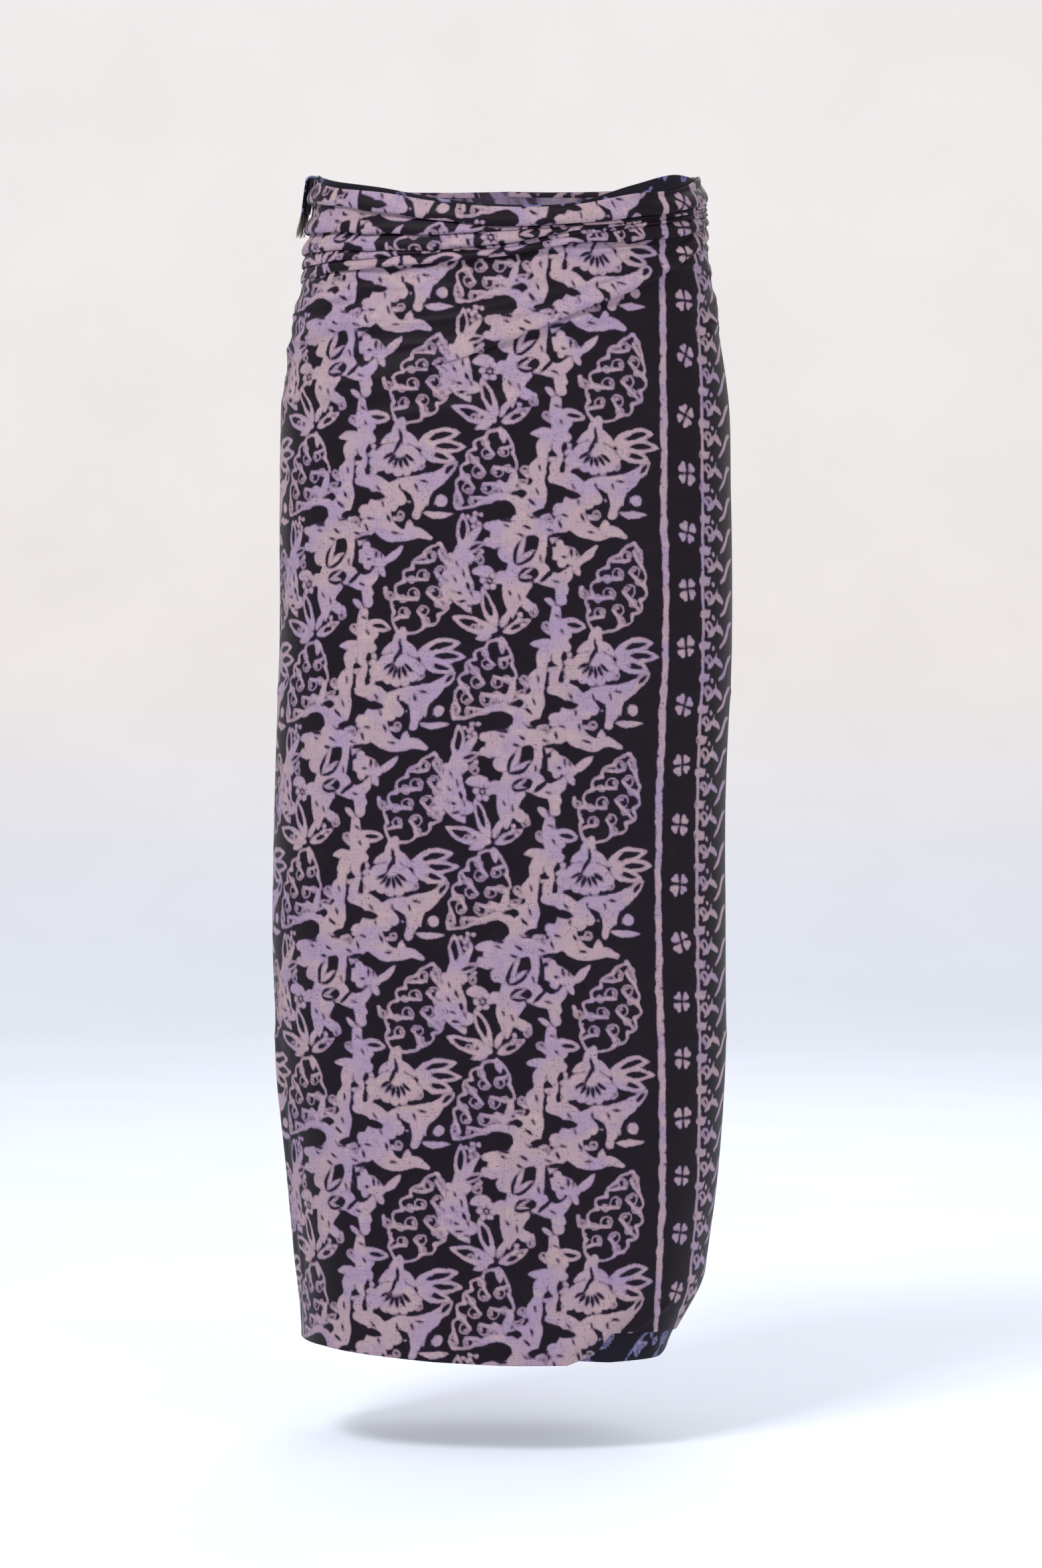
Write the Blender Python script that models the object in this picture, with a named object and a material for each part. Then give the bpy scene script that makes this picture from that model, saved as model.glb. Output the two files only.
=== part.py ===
"""A sarong as it is worn: one long printed cloth, wound a turn and a half round the hips, its top
scrunched into folds and its last end tucked in at the left hip. Front faces -Y, +X is the
wearer's left, +Z is up, and the origin is the middle of the waist."""
import math
from collections import namedtuple

import bmesh
import bpy
import numpy as np

# Driving dimensions, in metres.
WALL = 0.0015          # thickness of the cloth
LAYER_GAP = 0.0012     # air between two turns of the cloth
SEAM_GAP = 0.0004      # air where one stretch of the cloth ends and the next begins
HIDDEN_GAP = 0.0020    # the same at the seam that the outer end hides
TUCK_UP = 0.0008       # how far a fold's lip turns up under itself
TUCKED_LIP = 0.0020    # a lip that stands out this far is tucked in full
TUCK_SHARE = 0.3       # the tuck is at most this share of the band above the lip
LIP_REACH = 0.014      # height of cloth that swells out above a lip
LIP_FILL = 0.98        # the swell is at most this share of the band above the lip
LIP_STEEP = 0.45       # a lip stands out at most this share of the band above it
UNDERSIDE_OUT = 0.12   # share of the lip at which its underside ends
MIN_BAND = 0.0016      # least height between two fold lines
EDGE_LIFT = 0.0004     # how far the top edge stands off the section
FRINGE_STRANDS = 22
FRINGE_DROP = 0.021    # length of the longest fringe strand
FRINGE_SPREAD = 0.0024 # how far its tips splay
FRINGE_ACROSS = 0.0011 # thickness of a fringe strand at its root
FRINGE_BACKING = 0.0022 # height of the strip that holds the strands
MM = 0.001

# Round the body, sigma runs from -1 at the back, through the wearer's right side (-0.5), the
# front (0) and the left side (0.5), to 1 at the back again.
RIGHT_SEAM = -0.53     # front and back stretches meet here
END_EDGE = 0.58        # the cloth's outer end, just behind the left hip
START_EDGE = -0.50     # the cloth's inner end, at the right hip
HIDDEN_SEAM = 0.54     # inner and back stretches meet here, under the outer end
CLEAR_OF_END = 0.008   # stretch past the outer end where the back still lies deep
RUN_OUT = 0.045        # stretch over which the back comes out from under the outer end
UNDER_END = 0.0032     # how deep the back stretch lies under the outer end
HALF_ROUND = 0.47      # metres from the front to the back, by which sigma becomes a length

Section = namedtuple("Section", "height half_width mid_x half_depth mid_y squareness")
SECTIONS = (
    Section(-0.935, 0.1590, -0.0030, 0.1080, 0.000, 2.30),
    Section(-0.879, 0.1620, -0.0020, 0.1080, 0.001, 2.30),
    Section(-0.794, 0.1715, -0.0005, 0.1080, 0.002, 2.40),
    Section(-0.708, 0.1795, -0.0020, 0.1090, 0.003, 2.45),
    Section(-0.623, 0.1818, -0.0045, 0.1110, 0.004, 2.50),
    Section(-0.494, 0.1814, -0.0040, 0.1150, 0.006, 2.50),
    Section(-0.366, 0.1826, 0.0010, 0.1190, 0.008, 2.50),
    Section(-0.240, 0.1815, 0.0010, 0.1220, 0.010, 2.50),
    Section(-0.175, 0.1800, 0.0010, 0.1210, 0.010, 2.50),
    Section(-0.110, 0.1705, 0.0015, 0.1150, 0.008, 2.40),
    Section(-0.045, 0.1605, 0.0025, 0.1060, 0.004, 2.30),
    Section(0.025, 0.1540, 0.0022, 0.1010, 0.003, 2.25),
)

# Places round the body where the fold lines below are given, in sigma.
STATIONS = (-1.0, -0.75, -0.50, -0.34, -0.24, -0.12, 0.0, 0.12, 0.24, 0.34, 0.43, 0.50, 0.75, 1.0)

# Heights of the cloth's top edges and of the fold lines under them, in millimetres, by station.
LINES = {
    "inner_top": (18, 16, 12, -3, -11, -22, -27, -25, -9, 3, 5, 10, 15, 18),
    "outer_top": (15, 12, 9, -8, -15, -25, -29, -27, -16, -9, 4, 11, 13, 15),
    "lip_1": (-3, -6, -11, -22, -31, -40, -45, -42, -35, -26, -16, -9, -5, -3),
    "lip_2": (-14, -20, -36, -43, -48, -51, -48, -44, -37, -28, -19, -13, -11, -14),
    "lip_3": (-24, -32, -53, -58, -61, -63, -58, -48, -39, -30, -22, -17, -18, -24),
    "lip_4": (-34, -44, -64, -67, -67, -65, -61, -52, -42, -34, -26, -21, -26, -34),
    "lip_5": (-46, -56, -75, -76, -75, -73, -68, -58, -53, -46, -34, -28, -36, -46),
    "drag_lip": (-120, -138, -153, -156, -158, -154, -136, -112, -88, -65, -46, -40, -85, -120),
}

# How far each lip stands out, in millimetres, by station.
LIPS = {
    "lip_1": (3.0, 3.5, 3.5, 3.0, 3.5, 4.5, 5.0, 5.0, 4.5, 4.0, 3.5, 3.5, 3.5, 3.0),
    "lip_2": (3.0, 3.5, 3.5, 4.0, 4.0, 4.0, 3.5, 2.0, 1.5, 1.5, 2.0, 3.0, 3.5, 3.0),
    "lip_3": (3.5, 3.5, 3.5, 3.5, 3.5, 4.0, 4.0, 3.5, 2.5, 2.0, 2.5, 3.0, 3.5, 3.5),
    "lip_4": (2.0, 2.0, 2.0, 2.5, 2.5, 2.0, 1.0, 1.5, 3.0, 4.0, 3.5, 3.0, 2.5, 2.0),
    "lip_5": (3.0, 2.5, 1.5, 1.5, 3.5, 4.5, 4.5, 4.0, 3.5, 3.0, 3.5, 3.5, 3.0, 3.0),
    "drag_lip": (0.5, 0.0, 0.0, 0.0, 0.0, 1.0, 3.0, 4.0, 4.5, 4.5, 3.0, 2.0, 1.0, 0.5),
}

# One turn of a fold from its top to its tucked underside: share of the drop, share of the lip.
Turn = namedtuple("Turn", "down out")
FOLD_TURNS = (Turn(0.25, 0.55), Turn(0.60, 0.93), Turn(0.90, 1.00), Turn(1.00, 0.70))

# Bottom edges of the outer and inner turns, in millimetres, going round.
Hem = namedtuple("Hem", "sigma outer inner")
HEMS = (
    Hem(-1.00, -926, -926), Hem(-0.50, -919, -917), Hem(-0.34, -920, -917), Hem(-0.12, -927, -921),
    Hem(0.00, -929, -924), Hem(0.12, -930, -926), Hem(0.17, -922, -928), Hem(0.20, -906, -929),
    Hem(0.32, -908, -928), Hem(0.43, -911, -921), Hem(0.50, -911, -919), Hem(0.62, -918, -921),
    Hem(1.00, -926, -926),
)

# Soft ridges on the outer turn: from one place to another (sigma, height), half width and height
# of the ridge, all but sigma in millimetres.
Ridge = namedtuple("Ridge", "sigma_a height_a sigma_b height_b half_width out")
RIDGE_ENDS = 0.25      # share of a ridge's length over which it rises, and dies away
RIDGES = (
    Ridge(-0.52, -96, -0.26, -93, 6, 3.0),
    Ridge(-0.50, -112, -0.20, -116, 7, 3.5),
    Ridge(-0.46, -84, -0.22, -78, 4, 1.8),
    Ridge(-0.54, -140, -0.10, -104, 9, 2.5),
    Ridge(-0.52, -178, 0.02, -150, 12, 2.2),
    Ridge(0.30, -108, 0.46, -62, 8, 2.5),
    Ridge(0.36, -128, 0.50, -84, 8, 2.2),
    Ridge(-0.44, -640, -0.47, -915, 9, 3.2),
    Ridge(0.015, -700, 0.03, -935, 7, 1.8),
    Ridge(0.10, -926, 0.27, -868, 8, 4.0),
    Ridge(0.56, -60, 0.74, -150, 10, 3.0),
    Ridge(0.95, -90, 0.62, -180, 12, 3.0),
    Ridge(1.10, -70, 1.38, -150, 10, 3.0),
    Ridge(0.80, -560, 0.86, -925, 16, 4.0),
    Ridge(1.16, -520, 1.22, -925, 18, 4.0),
)

# Broad waves that hang from the hips, shared by both turns of the cloth.
Wave = namedtuple("Wave", "sigma half_width_sigma top full out")
WAVES = (
    Wave(-0.30, 0.10, -0.560, -0.90, 0.0035),
    Wave(0.02, 0.07, -0.620, -0.92, 0.0030),
    Wave(0.78, 0.09, -0.300, -0.80, 0.0070),
    Wave(1.00, 0.07, -0.280, -0.85, -0.0060),
    Wave(1.22, 0.09, -0.300, -0.80, 0.0070),
)

# The lower left corner, which swings in behind the foot.
CORNER_TOP = -0.865
CORNER_DROP = 0.070
CORNER_IN = 0.024
Window = namedtuple("Window", "start rise fall_start fall")
CORNER_WINDOW = Window(0.26, 0.20, 0.60, 0.22)

COARSE_STEP = 0.04      # spacing of the plain inner surfaces, in sigma
FINE_STEP = 0.025       # spacing of the folded outer surfaces, in sigma
LOW_HEIGHTS = (-0.85, -0.873, -0.893)    # rows just above the hem, shared by every surface
PLAIN_HEIGHTS = (-0.055, -0.085, -0.13, -0.175, -0.24, -0.366, -0.494, -0.623, -0.708, -0.794)
DRAG_SHARES = (0.3, 0.65, 1.0)           # rows on the flat stretch above the drag fold
BODY_ROWS = 15          # steps of the outer surface from the drag fold down to the low rows


def smooth(at, knots, values):
    """Cubic through the knots, level beyond the ends."""
    knots = np.asarray(knots, float)
    values = np.asarray(values, float)
    slope = np.gradient(values, knots)
    at = np.clip(at, knots[0], knots[-1])
    i = np.clip(np.searchsorted(knots, at, side="right") - 1, 0, len(knots) - 2)
    span = knots[i + 1] - knots[i]
    t = (at - knots[i]) / span
    start = (1 + 2 * t) * (1 - t) ** 2 * values[i] + t * (1 - t) ** 2 * span * slope[i]
    end = t * t * (3 - 2 * t) * values[i + 1] + t * t * (t - 1) * span * slope[i + 1]
    return start + end


def ease(t):
    """0 to 1 with soft ends."""
    t = np.clip(t, 0, 1)
    return t * t * (3 - 2 * t)


def wrap(sigma):
    """Sigma brought back to -1 .. 1."""
    return (np.asarray(sigma, float) + 1) % 2 - 1


def section_at(height):
    """Half width, middle x, half depth, middle y and squareness at a height."""
    knots = [s.height for s in SECTIONS]
    return [smooth(height, knots, [s[k] for s in SECTIONS]) for k in range(1, 6)]


ANGLES = np.linspace(-math.pi, math.pi, 721)
ARC_HEIGHTS = np.linspace(-0.96, 0.03, 100)


def arc_tables():
    """For a fan of heights, the bearing at each share of the way round, and the way round."""
    shares = np.linspace(-1, 1, 721)
    bearings = []
    half_rounds = []
    for height in ARC_HEIGHTS:
        a, _, b, _, n = section_at(height)
        reach = (np.abs(np.sin(ANGLES) / a) ** n + np.abs(np.cos(ANGLES) / b) ** n) ** (-1 / n)
        x = reach * np.sin(ANGLES)
        y = -reach * np.cos(ANGLES)
        way = np.concatenate([[0], np.cumsum(np.hypot(np.diff(x), np.diff(y)))])
        half = way[-1] / 2
        bearings.append(np.interp(shares * half, way - half, ANGLES))
        half_rounds.append(half)
    return shares, np.array(bearings), np.array(half_rounds)


SHARES, BEARINGS, HALF_ROUNDS = arc_tables()


def bearing_at(sigma, height):
    """Bearing from the front, in radians, of a share of the way round at a height."""
    row = np.interp(height, ARC_HEIGHTS, np.arange(len(ARC_HEIGHTS)))
    col = np.interp(wrap(sigma), SHARES, np.arange(len(SHARES)))
    r0 = np.clip(row.astype(int), 0, len(ARC_HEIGHTS) - 2)
    c0 = np.clip(col.astype(int), 0, len(SHARES) - 2)
    fr = row - r0
    fc = col - c0
    near = BEARINGS[r0, c0] * (1 - fc) + BEARINGS[r0, c0 + 1] * fc
    far = BEARINGS[r0 + 1, c0] * (1 - fc) + BEARINGS[r0 + 1, c0 + 1] * fc
    return near * (1 - fr) + far * fr


def waves(sigma, height):
    """Outward sway of the hanging cloth."""
    total = np.zeros(np.broadcast(sigma, height).shape)
    for wave in WAVES:
        off = (wrap(sigma - wave.sigma)) / wave.half_width_sigma
        total = total + wave.out * np.exp(-off ** 2) * ease((wave.top - height) / (wave.top - wave.full))
    return total


def corner_in(sigma, height):
    """How far the lower left corner swings in."""
    s = wrap(sigma)
    w = CORNER_WINDOW
    window = ease((s - w.start) / w.rise) * (1 - ease((s - w.fall_start) / w.fall))
    return CORNER_IN * ease((CORNER_TOP - height) / CORNER_DROP) * window


def place(sigma, height, out):
    """Points of the cloth: a share of the way round, a height, and a distance off the section."""
    sigma, height, out = np.broadcast_arrays(np.asarray(sigma, float), height, out)
    a, mid_x, b, mid_y, n = section_at(height)
    angle = bearing_at(sigma, height)
    sine, cosine = np.sin(angle), np.cos(angle)
    reach = (np.abs(sine / a) ** n + np.abs(cosine / b) ** n) ** (-1 / n)
    x, y = reach * sine, -reach * cosine
    nx = np.sign(x) * np.abs(x / a) ** (n - 1) / a
    ny = np.sign(y) * np.abs(y / b) ** (n - 1) / b
    size = np.hypot(nx, ny)
    off = out + waves(sigma, height)
    x = x + mid_x + off * nx / size - corner_in(sigma, height)
    y = y + mid_y + off * ny / size
    return np.stack([x, y, height], axis=-1)


def line(name, sigma):
    """Height of a top edge or fold line, in metres."""
    return smooth(wrap(sigma), STATIONS, LINES[name]) * MM


def lip(name, sigma):
    """How far a lip stands out, in metres."""
    return smooth(wrap(sigma), STATIONS, LIPS[name]) * MM


def hem(side, sigma):
    """Height of the outer or inner bottom edge, in metres."""
    return np.interp(wrap(sigma), [h.sigma for h in HEMS], [getattr(h, side) for h in HEMS]) * MM


def ridges(sigma, height):
    """Outward relief of the soft ridges."""
    total = np.zeros(np.broadcast(sigma, height).shape)
    for ridge in RIDGES:
        ax, ay = ridge.sigma_a * HALF_ROUND, ridge.height_a * MM
        bx, by = ridge.sigma_b * HALF_ROUND, ridge.height_b * MM
        middle = (ridge.sigma_a + ridge.sigma_b) / 2
        px = (wrap(sigma - middle) + middle) * HALF_ROUND
        length = (bx - ax) ** 2 + (by - ay) ** 2
        t = ((px - ax) * (bx - ax) + (height - ay) * (by - ay)) / length
        along = np.clip(t, 0, 1)
        away = np.hypot(px - ax - along * (bx - ax), height - ay - along * (by - ay))
        swell = ease(along / RIDGE_ENDS) * ease((1 - along) / RIDGE_ENDS)
        total = total + ridge.out * MM * swell * np.exp(-(away / (ridge.half_width * MM)) ** 2)
    return total


def outer_rows(sigma):
    """Heights and offsets of every row of the folded outer surface, from the top edge down."""
    upper = line("outer_top", sigma)
    flat = np.zeros_like(sigma)
    rows = [(upper, flat + EDGE_LIFT)]
    for name in ("lip_1", "lip_2", "lip_3", "lip_4", "lip_5", "drag_lip"):
        lower = np.minimum(line(name, sigma), upper - MIN_BAND)
        band = upper - lower
        reach = np.minimum(LIP_FILL * band, LIP_REACH)
        out = np.minimum(lip(name, sigma), LIP_STEEP * band)
        spare = band - reach
        if name == "drag_lip":
            rows += [(upper - spare * share, flat) for share in DRAG_SHARES]
        top = upper - spare
        for turn in FOLD_TURNS:
            rows.append((top - (top - lower) * turn.down, out * turn.out))
        tuck = np.minimum(TUCK_UP, TUCK_SHARE * band) * (2 * np.clip(out / TUCKED_LIP, 0, 1) - 1)
        rows.append((lower + tuck, out * UNDERSIDE_OUT))
        upper = lower + tuck
    rows += [(upper + (LOW_HEIGHTS[0] - upper) * k / BODY_ROWS, flat) for k in range(1, BODY_ROWS)]
    rows += [(flat + height, flat) for height in LOW_HEIGHTS]
    rows.append((hem("outer", sigma), flat))
    heights = np.array([r[0] for r in rows])
    outs = np.array([r[1] for r in rows])
    return heights, outs + ridges(sigma[None, :], heights)


def columns(start, end, step):
    """Sigma of the columns: both ends, and each whole step between them."""
    inner = np.arange(math.ceil(start / step), math.floor(end / step) + 1) * step
    inner = inner[(inner > start + step * 0.3) & (inner < end - step * 0.3)]
    return np.concatenate([[start], inner, [end]])


def plain_grid(sigma, top, bottom, out):
    """A plain surface: the shared heights between a top and a bottom edge."""
    between = [np.full_like(sigma, h) for h in PLAIN_HEIGHTS + LOW_HEIGHTS]
    heights = np.array([top(sigma)] + between + [bottom(sigma)])
    return place(sigma[None, :], heights, out)


def shares_along(run):
    """Share of a run's length at which each of its points lies."""
    steps = np.linalg.norm(np.diff(run, axis=0), axis=1)
    way = np.concatenate([[0], np.cumsum(steps)])
    return way / way[-1]


def shares_down(run):
    """Share of a run's drop at which each of its points lies."""
    heights = run[:, 2]
    return np.maximum.accumulate((heights[0] - heights) / (heights[0] - heights[-1]))


def zip_strip(bm, first, second, shares, flip):
    """Triangles between two runs of vertices whose ends already meet the corners."""
    first_at = shares(np.array([v.co for v in first]))
    second_at = shares(np.array([v.co for v in second]))
    i = j = 0
    while i < len(first) - 1 or j < len(second) - 1:
        first_next = first_at[i + 1] if i < len(first) - 1 else math.inf
        second_next = second_at[j + 1] if j < len(second) - 1 else math.inf
        if first_next <= second_next:
            corners = [first[i], first[i + 1], second[j]]
            i += 1
        else:
            corners = [first[i], second[j + 1], second[j]]
            j += 1
        bm.faces.new(corners[::-1] if flip else corners)


def grid_faces(bm, points, flip):
    """A grid of points as vertices and triangles."""
    verts = [[bm.verts.new(p) for p in row] for row in points]
    for upper, lower in zip(verts, verts[1:]):
        for k in range(len(upper) - 1):
            quad = [upper[k], lower[k], lower[k + 1], upper[k + 1]]
            for corners in (quad[:3], [quad[0], quad[2], quad[3]]):
                bm.faces.new(corners[::-1] if flip else corners)
    return verts


def wall(name, outside, inside, material, side_shares=shares_down):
    """A closed wall between an outside grid and an inside grid, rows from the top down."""
    bm = bmesh.new()
    outer = grid_faces(bm, outside, flip=False)
    inner = grid_faces(bm, inside, flip=True)
    zip_strip(bm, outer[0], inner[0], shares_along, flip=False)
    zip_strip(bm, outer[-1], inner[-1], shares_along, flip=True)
    zip_strip(bm, [r[0] for r in outer], [r[0] for r in inner], side_shares, flip=True)
    zip_strip(bm, [r[-1] for r in outer], [r[-1] for r in inner], side_shares, flip=False)
    bmesh.ops.recalc_face_normals(bm, faces=bm.faces)
    return finish_piece(name, bm, material)


def finish_piece(name, bm, material):
    """Turns a bmesh into a named, smooth shaded object."""
    mesh = bpy.data.meshes.new(name)
    bm.to_mesh(mesh)
    bm.free()
    mesh.shade_smooth()
    mesh.materials.append(material)
    piece = bpy.data.objects.new(name, mesh)
    PIECES.objects.link(piece)
    return piece


def cloth_material(name, colour, roughness):
    """A plain dyed cloth."""
    material = bpy.data.materials.new(name)
    material.use_nodes = True
    shader = material.node_tree.nodes["Principled BSDF"]
    shader.inputs["Base Color"].default_value = (*colour, 1)
    shader.inputs["Roughness"].default_value = roughness
    shader.inputs["Metallic"].default_value = 0.0
    return material


def gap_share(gap):
    """Half a seam's gap as a share of the way round."""
    return gap / 2 / float(HALF_ROUNDS.mean())


def build_front_outer(material):
    """The outer turn, from the right hip round the front to the cloth's end at the left hip."""
    start = RIGHT_SEAM + gap_share(SEAM_GAP)
    sigma = columns(start, END_EDGE, FINE_STEP)
    heights, outs = outer_rows(sigma)
    outside = place(sigma[None, :], heights, outs)
    coarse = columns(start, END_EDGE, COARSE_STEP)
    inside = plain_grid(coarse, lambda s: line("outer_top", s), lambda s: hem("outer", s), -WALL)
    return wall("wrap_front_outer", outside, inside, material)


def under_share(sigma):
    """1 where the back stretch lies under the outer end, 0 where it has come out."""
    return 1 - ease((sigma - END_EDGE - CLEAR_OF_END) / RUN_OUT)


def build_back(material):
    """The back stretch, from under the outer end round to the right hip."""
    start = HIDDEN_SEAM + gap_share(HIDDEN_GAP)
    end = 2 + RIGHT_SEAM - gap_share(SEAM_GAP)
    sigma = columns(start, end, FINE_STEP)
    heights, outs = outer_rows(sigma)
    under = under_share(sigma)[None, :]
    outside = place(sigma[None, :], heights, outs * (1 - under) - UNDER_END * under)
    coarse = columns(start, end, COARSE_STEP)
    depth = -WALL - UNDER_END * under_share(coarse)[None, :]
    inside = plain_grid(coarse, lambda s: line("outer_top", s), lambda s: hem("outer", s), depth)
    return wall("wrap_back", outside, inside, material)


def build_front_inner(material):
    """The inner turn: its top edge shows above the outer one, its hem below the lifted corner."""
    sigma = columns(START_EDGE, HIDDEN_SEAM - gap_share(HIDDEN_GAP), COARSE_STEP)

    def layer(out):
        return plain_grid(sigma, lambda s: line("inner_top", s), lambda s: hem("inner", s), out)

    return wall("wrap_front_inner", layer(-WALL - LAYER_GAP), layer(-2 * WALL - LAYER_GAP), material)


# The cloth's first corner, pulled up and over the waist at the right hip. It starts on the outer
# turn's top edge, arches over it and hangs: the share of the way round of its front and back
# edges, the height over that top edge and the distance off the section of its inner face, in
# millimetres, and the angle in degrees by which its outer face looks up from level.
FlapRow = namedtuple("FlapRow", "sigma_front sigma_back height out lean")
ARCH_RADIUS = 2.5
ARCH_OUT = 1.9
ARCH_HEIGHT = -0.85
ARCH_LEANS = (150, 120, 90, 60, 30, 0)
FLAP_ROWS = [
    FlapRow(
        -0.475,
        -0.575,
        ARCH_HEIGHT + ARCH_RADIUS * math.sin(math.radians(lean)),
        ARCH_OUT + ARCH_RADIUS * math.cos(math.radians(lean)),
        lean,
    )
    for lean in ARCH_LEANS
] + [
    FlapRow(-0.476, -0.575, -8.0, 5.0, 0),
    FlapRow(-0.480, -0.570, -17.0, 5.5, 0),
    FlapRow(-0.486, -0.564, -27.0, 6.0, 0),
]
FLAP_COLUMNS = 7
FLAP_SHARES = [k / (FLAP_COLUMNS - 1) for k in range(FLAP_COLUMNS)]
FLAP_RIPPLE = 0.0005   # ripple across the corner
FLAP_RIPPLES = 1.5     # and how many times it goes to and fro

# One fringe strand, from its root down: share of its droop, distance off the corner's inner face
# in millimetres, share of its splay, share of its thickness.
StrandPoint = namedtuple("StrandPoint", "droop out splay across")
STRAND = (
    StrandPoint(0.0, 0.75, 0.0, 1.0),
    StrandPoint(0.5, 2.30, 0.25, 0.85),
    StrandPoint(1.0, 2.60, 0.6, 0.35),
)
STRAND_SIDES = 3
SHORTEST_STRAND = 0.72  # as a share of the longest
DROOP_TURN = 2.4        # angle from one strand's length to the next in the run of lengths
SPLAY_TURN = 1.7        # the same for their splay


def flap_point(row, share, extra):
    """A point of the corner: a share of the way from its front edge to its back edge, and off its face."""
    sigma = row.sigma_front + (row.sigma_back - row.sigma_front) * share
    ripple = FLAP_RIPPLE * math.sin(share * 2 * math.pi * FLAP_RIPPLES)
    lean = math.radians(row.lean)
    height = float(line("outer_top", sigma)) + row.height * MM + extra * math.sin(lean)
    out = row.out * MM + ripple * math.cos(lean) ** 2 + extra * math.cos(lean)
    return place(np.array(sigma), height, out)


def flap_grid(rows, extra):
    """One face of the corner, or of its backing strip."""
    return [[flap_point(row, share, extra) for share in FLAP_SHARES] for row in rows]


def build_tail_flap(material):
    """The corner of the cloth's inner end, hung over the waist."""
    outside, inside = flap_grid(FLAP_ROWS, WALL), flap_grid(FLAP_ROWS, 0.0)
    return wall("tail_flap", outside, inside, material, side_shares=shares_along)


def strand_rings(strand, root_row):
    """The rings of one fringe strand, from its root to its tip."""
    share = (strand + 0.5) / FRINGE_STRANDS
    lengths = SHORTEST_STRAND + (1 - SHORTEST_STRAND) * math.sin(strand * DROOP_TURN) ** 2
    splay = FRINGE_SPREAD * math.sin(strand * SPLAY_TURN)
    rings = []
    for point in STRAND:
        drop = FRINGE_DROP * lengths * point.droop
        row = root_row._replace(height=root_row.height - drop / MM)
        middle = flap_point(row, share, point.out * MM + abs(splay) * point.splay)
        middle = middle + np.array([0, splay * point.splay, 0])
        turns = [2 * math.pi * side / STRAND_SIDES + strand for side in range(STRAND_SIDES)]
        radius = FRINGE_ACROSS / 2 * point.across
        rings.append([middle + radius * np.array([math.cos(t), math.sin(t), 0]) for t in turns])
    return rings


def build_tail_fringe(material):
    """Fringe on the corner's lower edge: loose strands on a narrow backing strip."""
    last = FLAP_ROWS[-1]
    top = last._replace(height=last.height - SEAM_GAP / MM)
    low = top._replace(height=top.height - FRINGE_BACKING / MM)
    root_row = top._replace(height=(top.height + low.height) / 2)
    backing = wall("tail_fringe", flap_grid((top, low), WALL), flap_grid((top, low), 0.0), material)

    bm = bmesh.new()
    for strand in range(FRINGE_STRANDS):
        rings = [[bm.verts.new(p) for p in ring] for ring in strand_rings(strand, root_row)]
        for upper, lower in zip(rings, rings[1:]):
            for side in range(STRAND_SIDES):
                after = (side + 1) % STRAND_SIDES
                bm.faces.new([upper[side], lower[side], lower[after], upper[after]])
        bm.faces.new(rings[0])
        bm.faces.new(rings[-1][::-1])
    bmesh.ops.recalc_face_normals(bm, faces=bm.faces)
    strands = finish_piece("fringe_strands", bm, material)
    PIECES.objects.unlink(strands)
    CUTTERS.objects.link(strands)
    strands.hide_render = True
    strands.display_type = "WIRE"
    union = backing.modifiers.new("strands", "BOOLEAN")
    union.operation = "UNION"
    union.solver = "EXACT"
    union.object = strands
    return backing


for old in list(bpy.data.objects):
    bpy.data.objects.remove(old)
PIECES = bpy.data.collections.new("sarong")
CUTTERS = bpy.data.collections.new("guides")
for collection in (PIECES, CUTTERS):
    bpy.context.scene.collection.children.link(collection)

PRINTED = cloth_material("printed_cloth", (0.11, 0.08, 0.12), 0.62)
REVERSE = cloth_material("printed_cloth_inner", (0.07, 0.06, 0.11), 0.65)
THREAD = cloth_material("fringe_thread", (0.20, 0.20, 0.19), 0.75)

build_front_outer(PRINTED)
build_back(PRINTED)
build_front_inner(REVERSE)
build_tail_flap(REVERSE)
build_tail_fringe(THREAD)
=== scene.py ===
"""The looks of the worn sarong: every turn of the cloth as a fine, folded sheet with its stamped print."""
import math
from collections import namedtuple

import bmesh
import bpy
import numpy as np
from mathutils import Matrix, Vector


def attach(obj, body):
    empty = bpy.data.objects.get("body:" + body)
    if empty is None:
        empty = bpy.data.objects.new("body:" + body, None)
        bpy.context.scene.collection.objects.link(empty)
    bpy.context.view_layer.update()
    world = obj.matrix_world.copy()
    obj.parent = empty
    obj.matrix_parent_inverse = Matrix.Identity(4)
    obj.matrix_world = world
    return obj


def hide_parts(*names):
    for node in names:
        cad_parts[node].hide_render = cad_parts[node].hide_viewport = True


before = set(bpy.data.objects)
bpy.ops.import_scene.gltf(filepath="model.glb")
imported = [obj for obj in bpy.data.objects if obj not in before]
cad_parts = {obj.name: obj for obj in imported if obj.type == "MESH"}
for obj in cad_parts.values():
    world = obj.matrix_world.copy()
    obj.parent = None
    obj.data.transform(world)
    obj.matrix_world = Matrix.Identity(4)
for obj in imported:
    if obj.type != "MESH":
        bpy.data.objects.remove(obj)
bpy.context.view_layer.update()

MM = 0.001

# The form, with the same names and values as the solids, in metres.
WALL = 0.0015           # thickness of the cloth
LAYER_GAP = 0.0012      # air between two turns of the cloth
LIP_REACH = 0.014       # height of cloth that swells out above a lip
LIP_STEEP = 0.60        # a lip stands out at most this share of the band above it
LIP_CRISP = 1.2         # and this much further than in the solids
MIN_BAND = 0.0016       # least height between two fold lines
TUCK_UP = 0.0016        # how far a fold's underside runs back up
RIGHT_SEAM = -0.53      # front and back stretches meet here, as a share of the way round
END_EDGE = 0.58         # the cloth's outer end
START_EDGE = -0.50      # the cloth's inner end
HIDDEN_SEAM = 0.54      # inner and back stretches meet here, under the outer end
CLEAR_OF_END = 0.008
RUN_OUT = 0.045
UNDER_END = 0.0032
HALF_ROUND = 0.47       # metres from the front to the back, by which a share becomes a length

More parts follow.
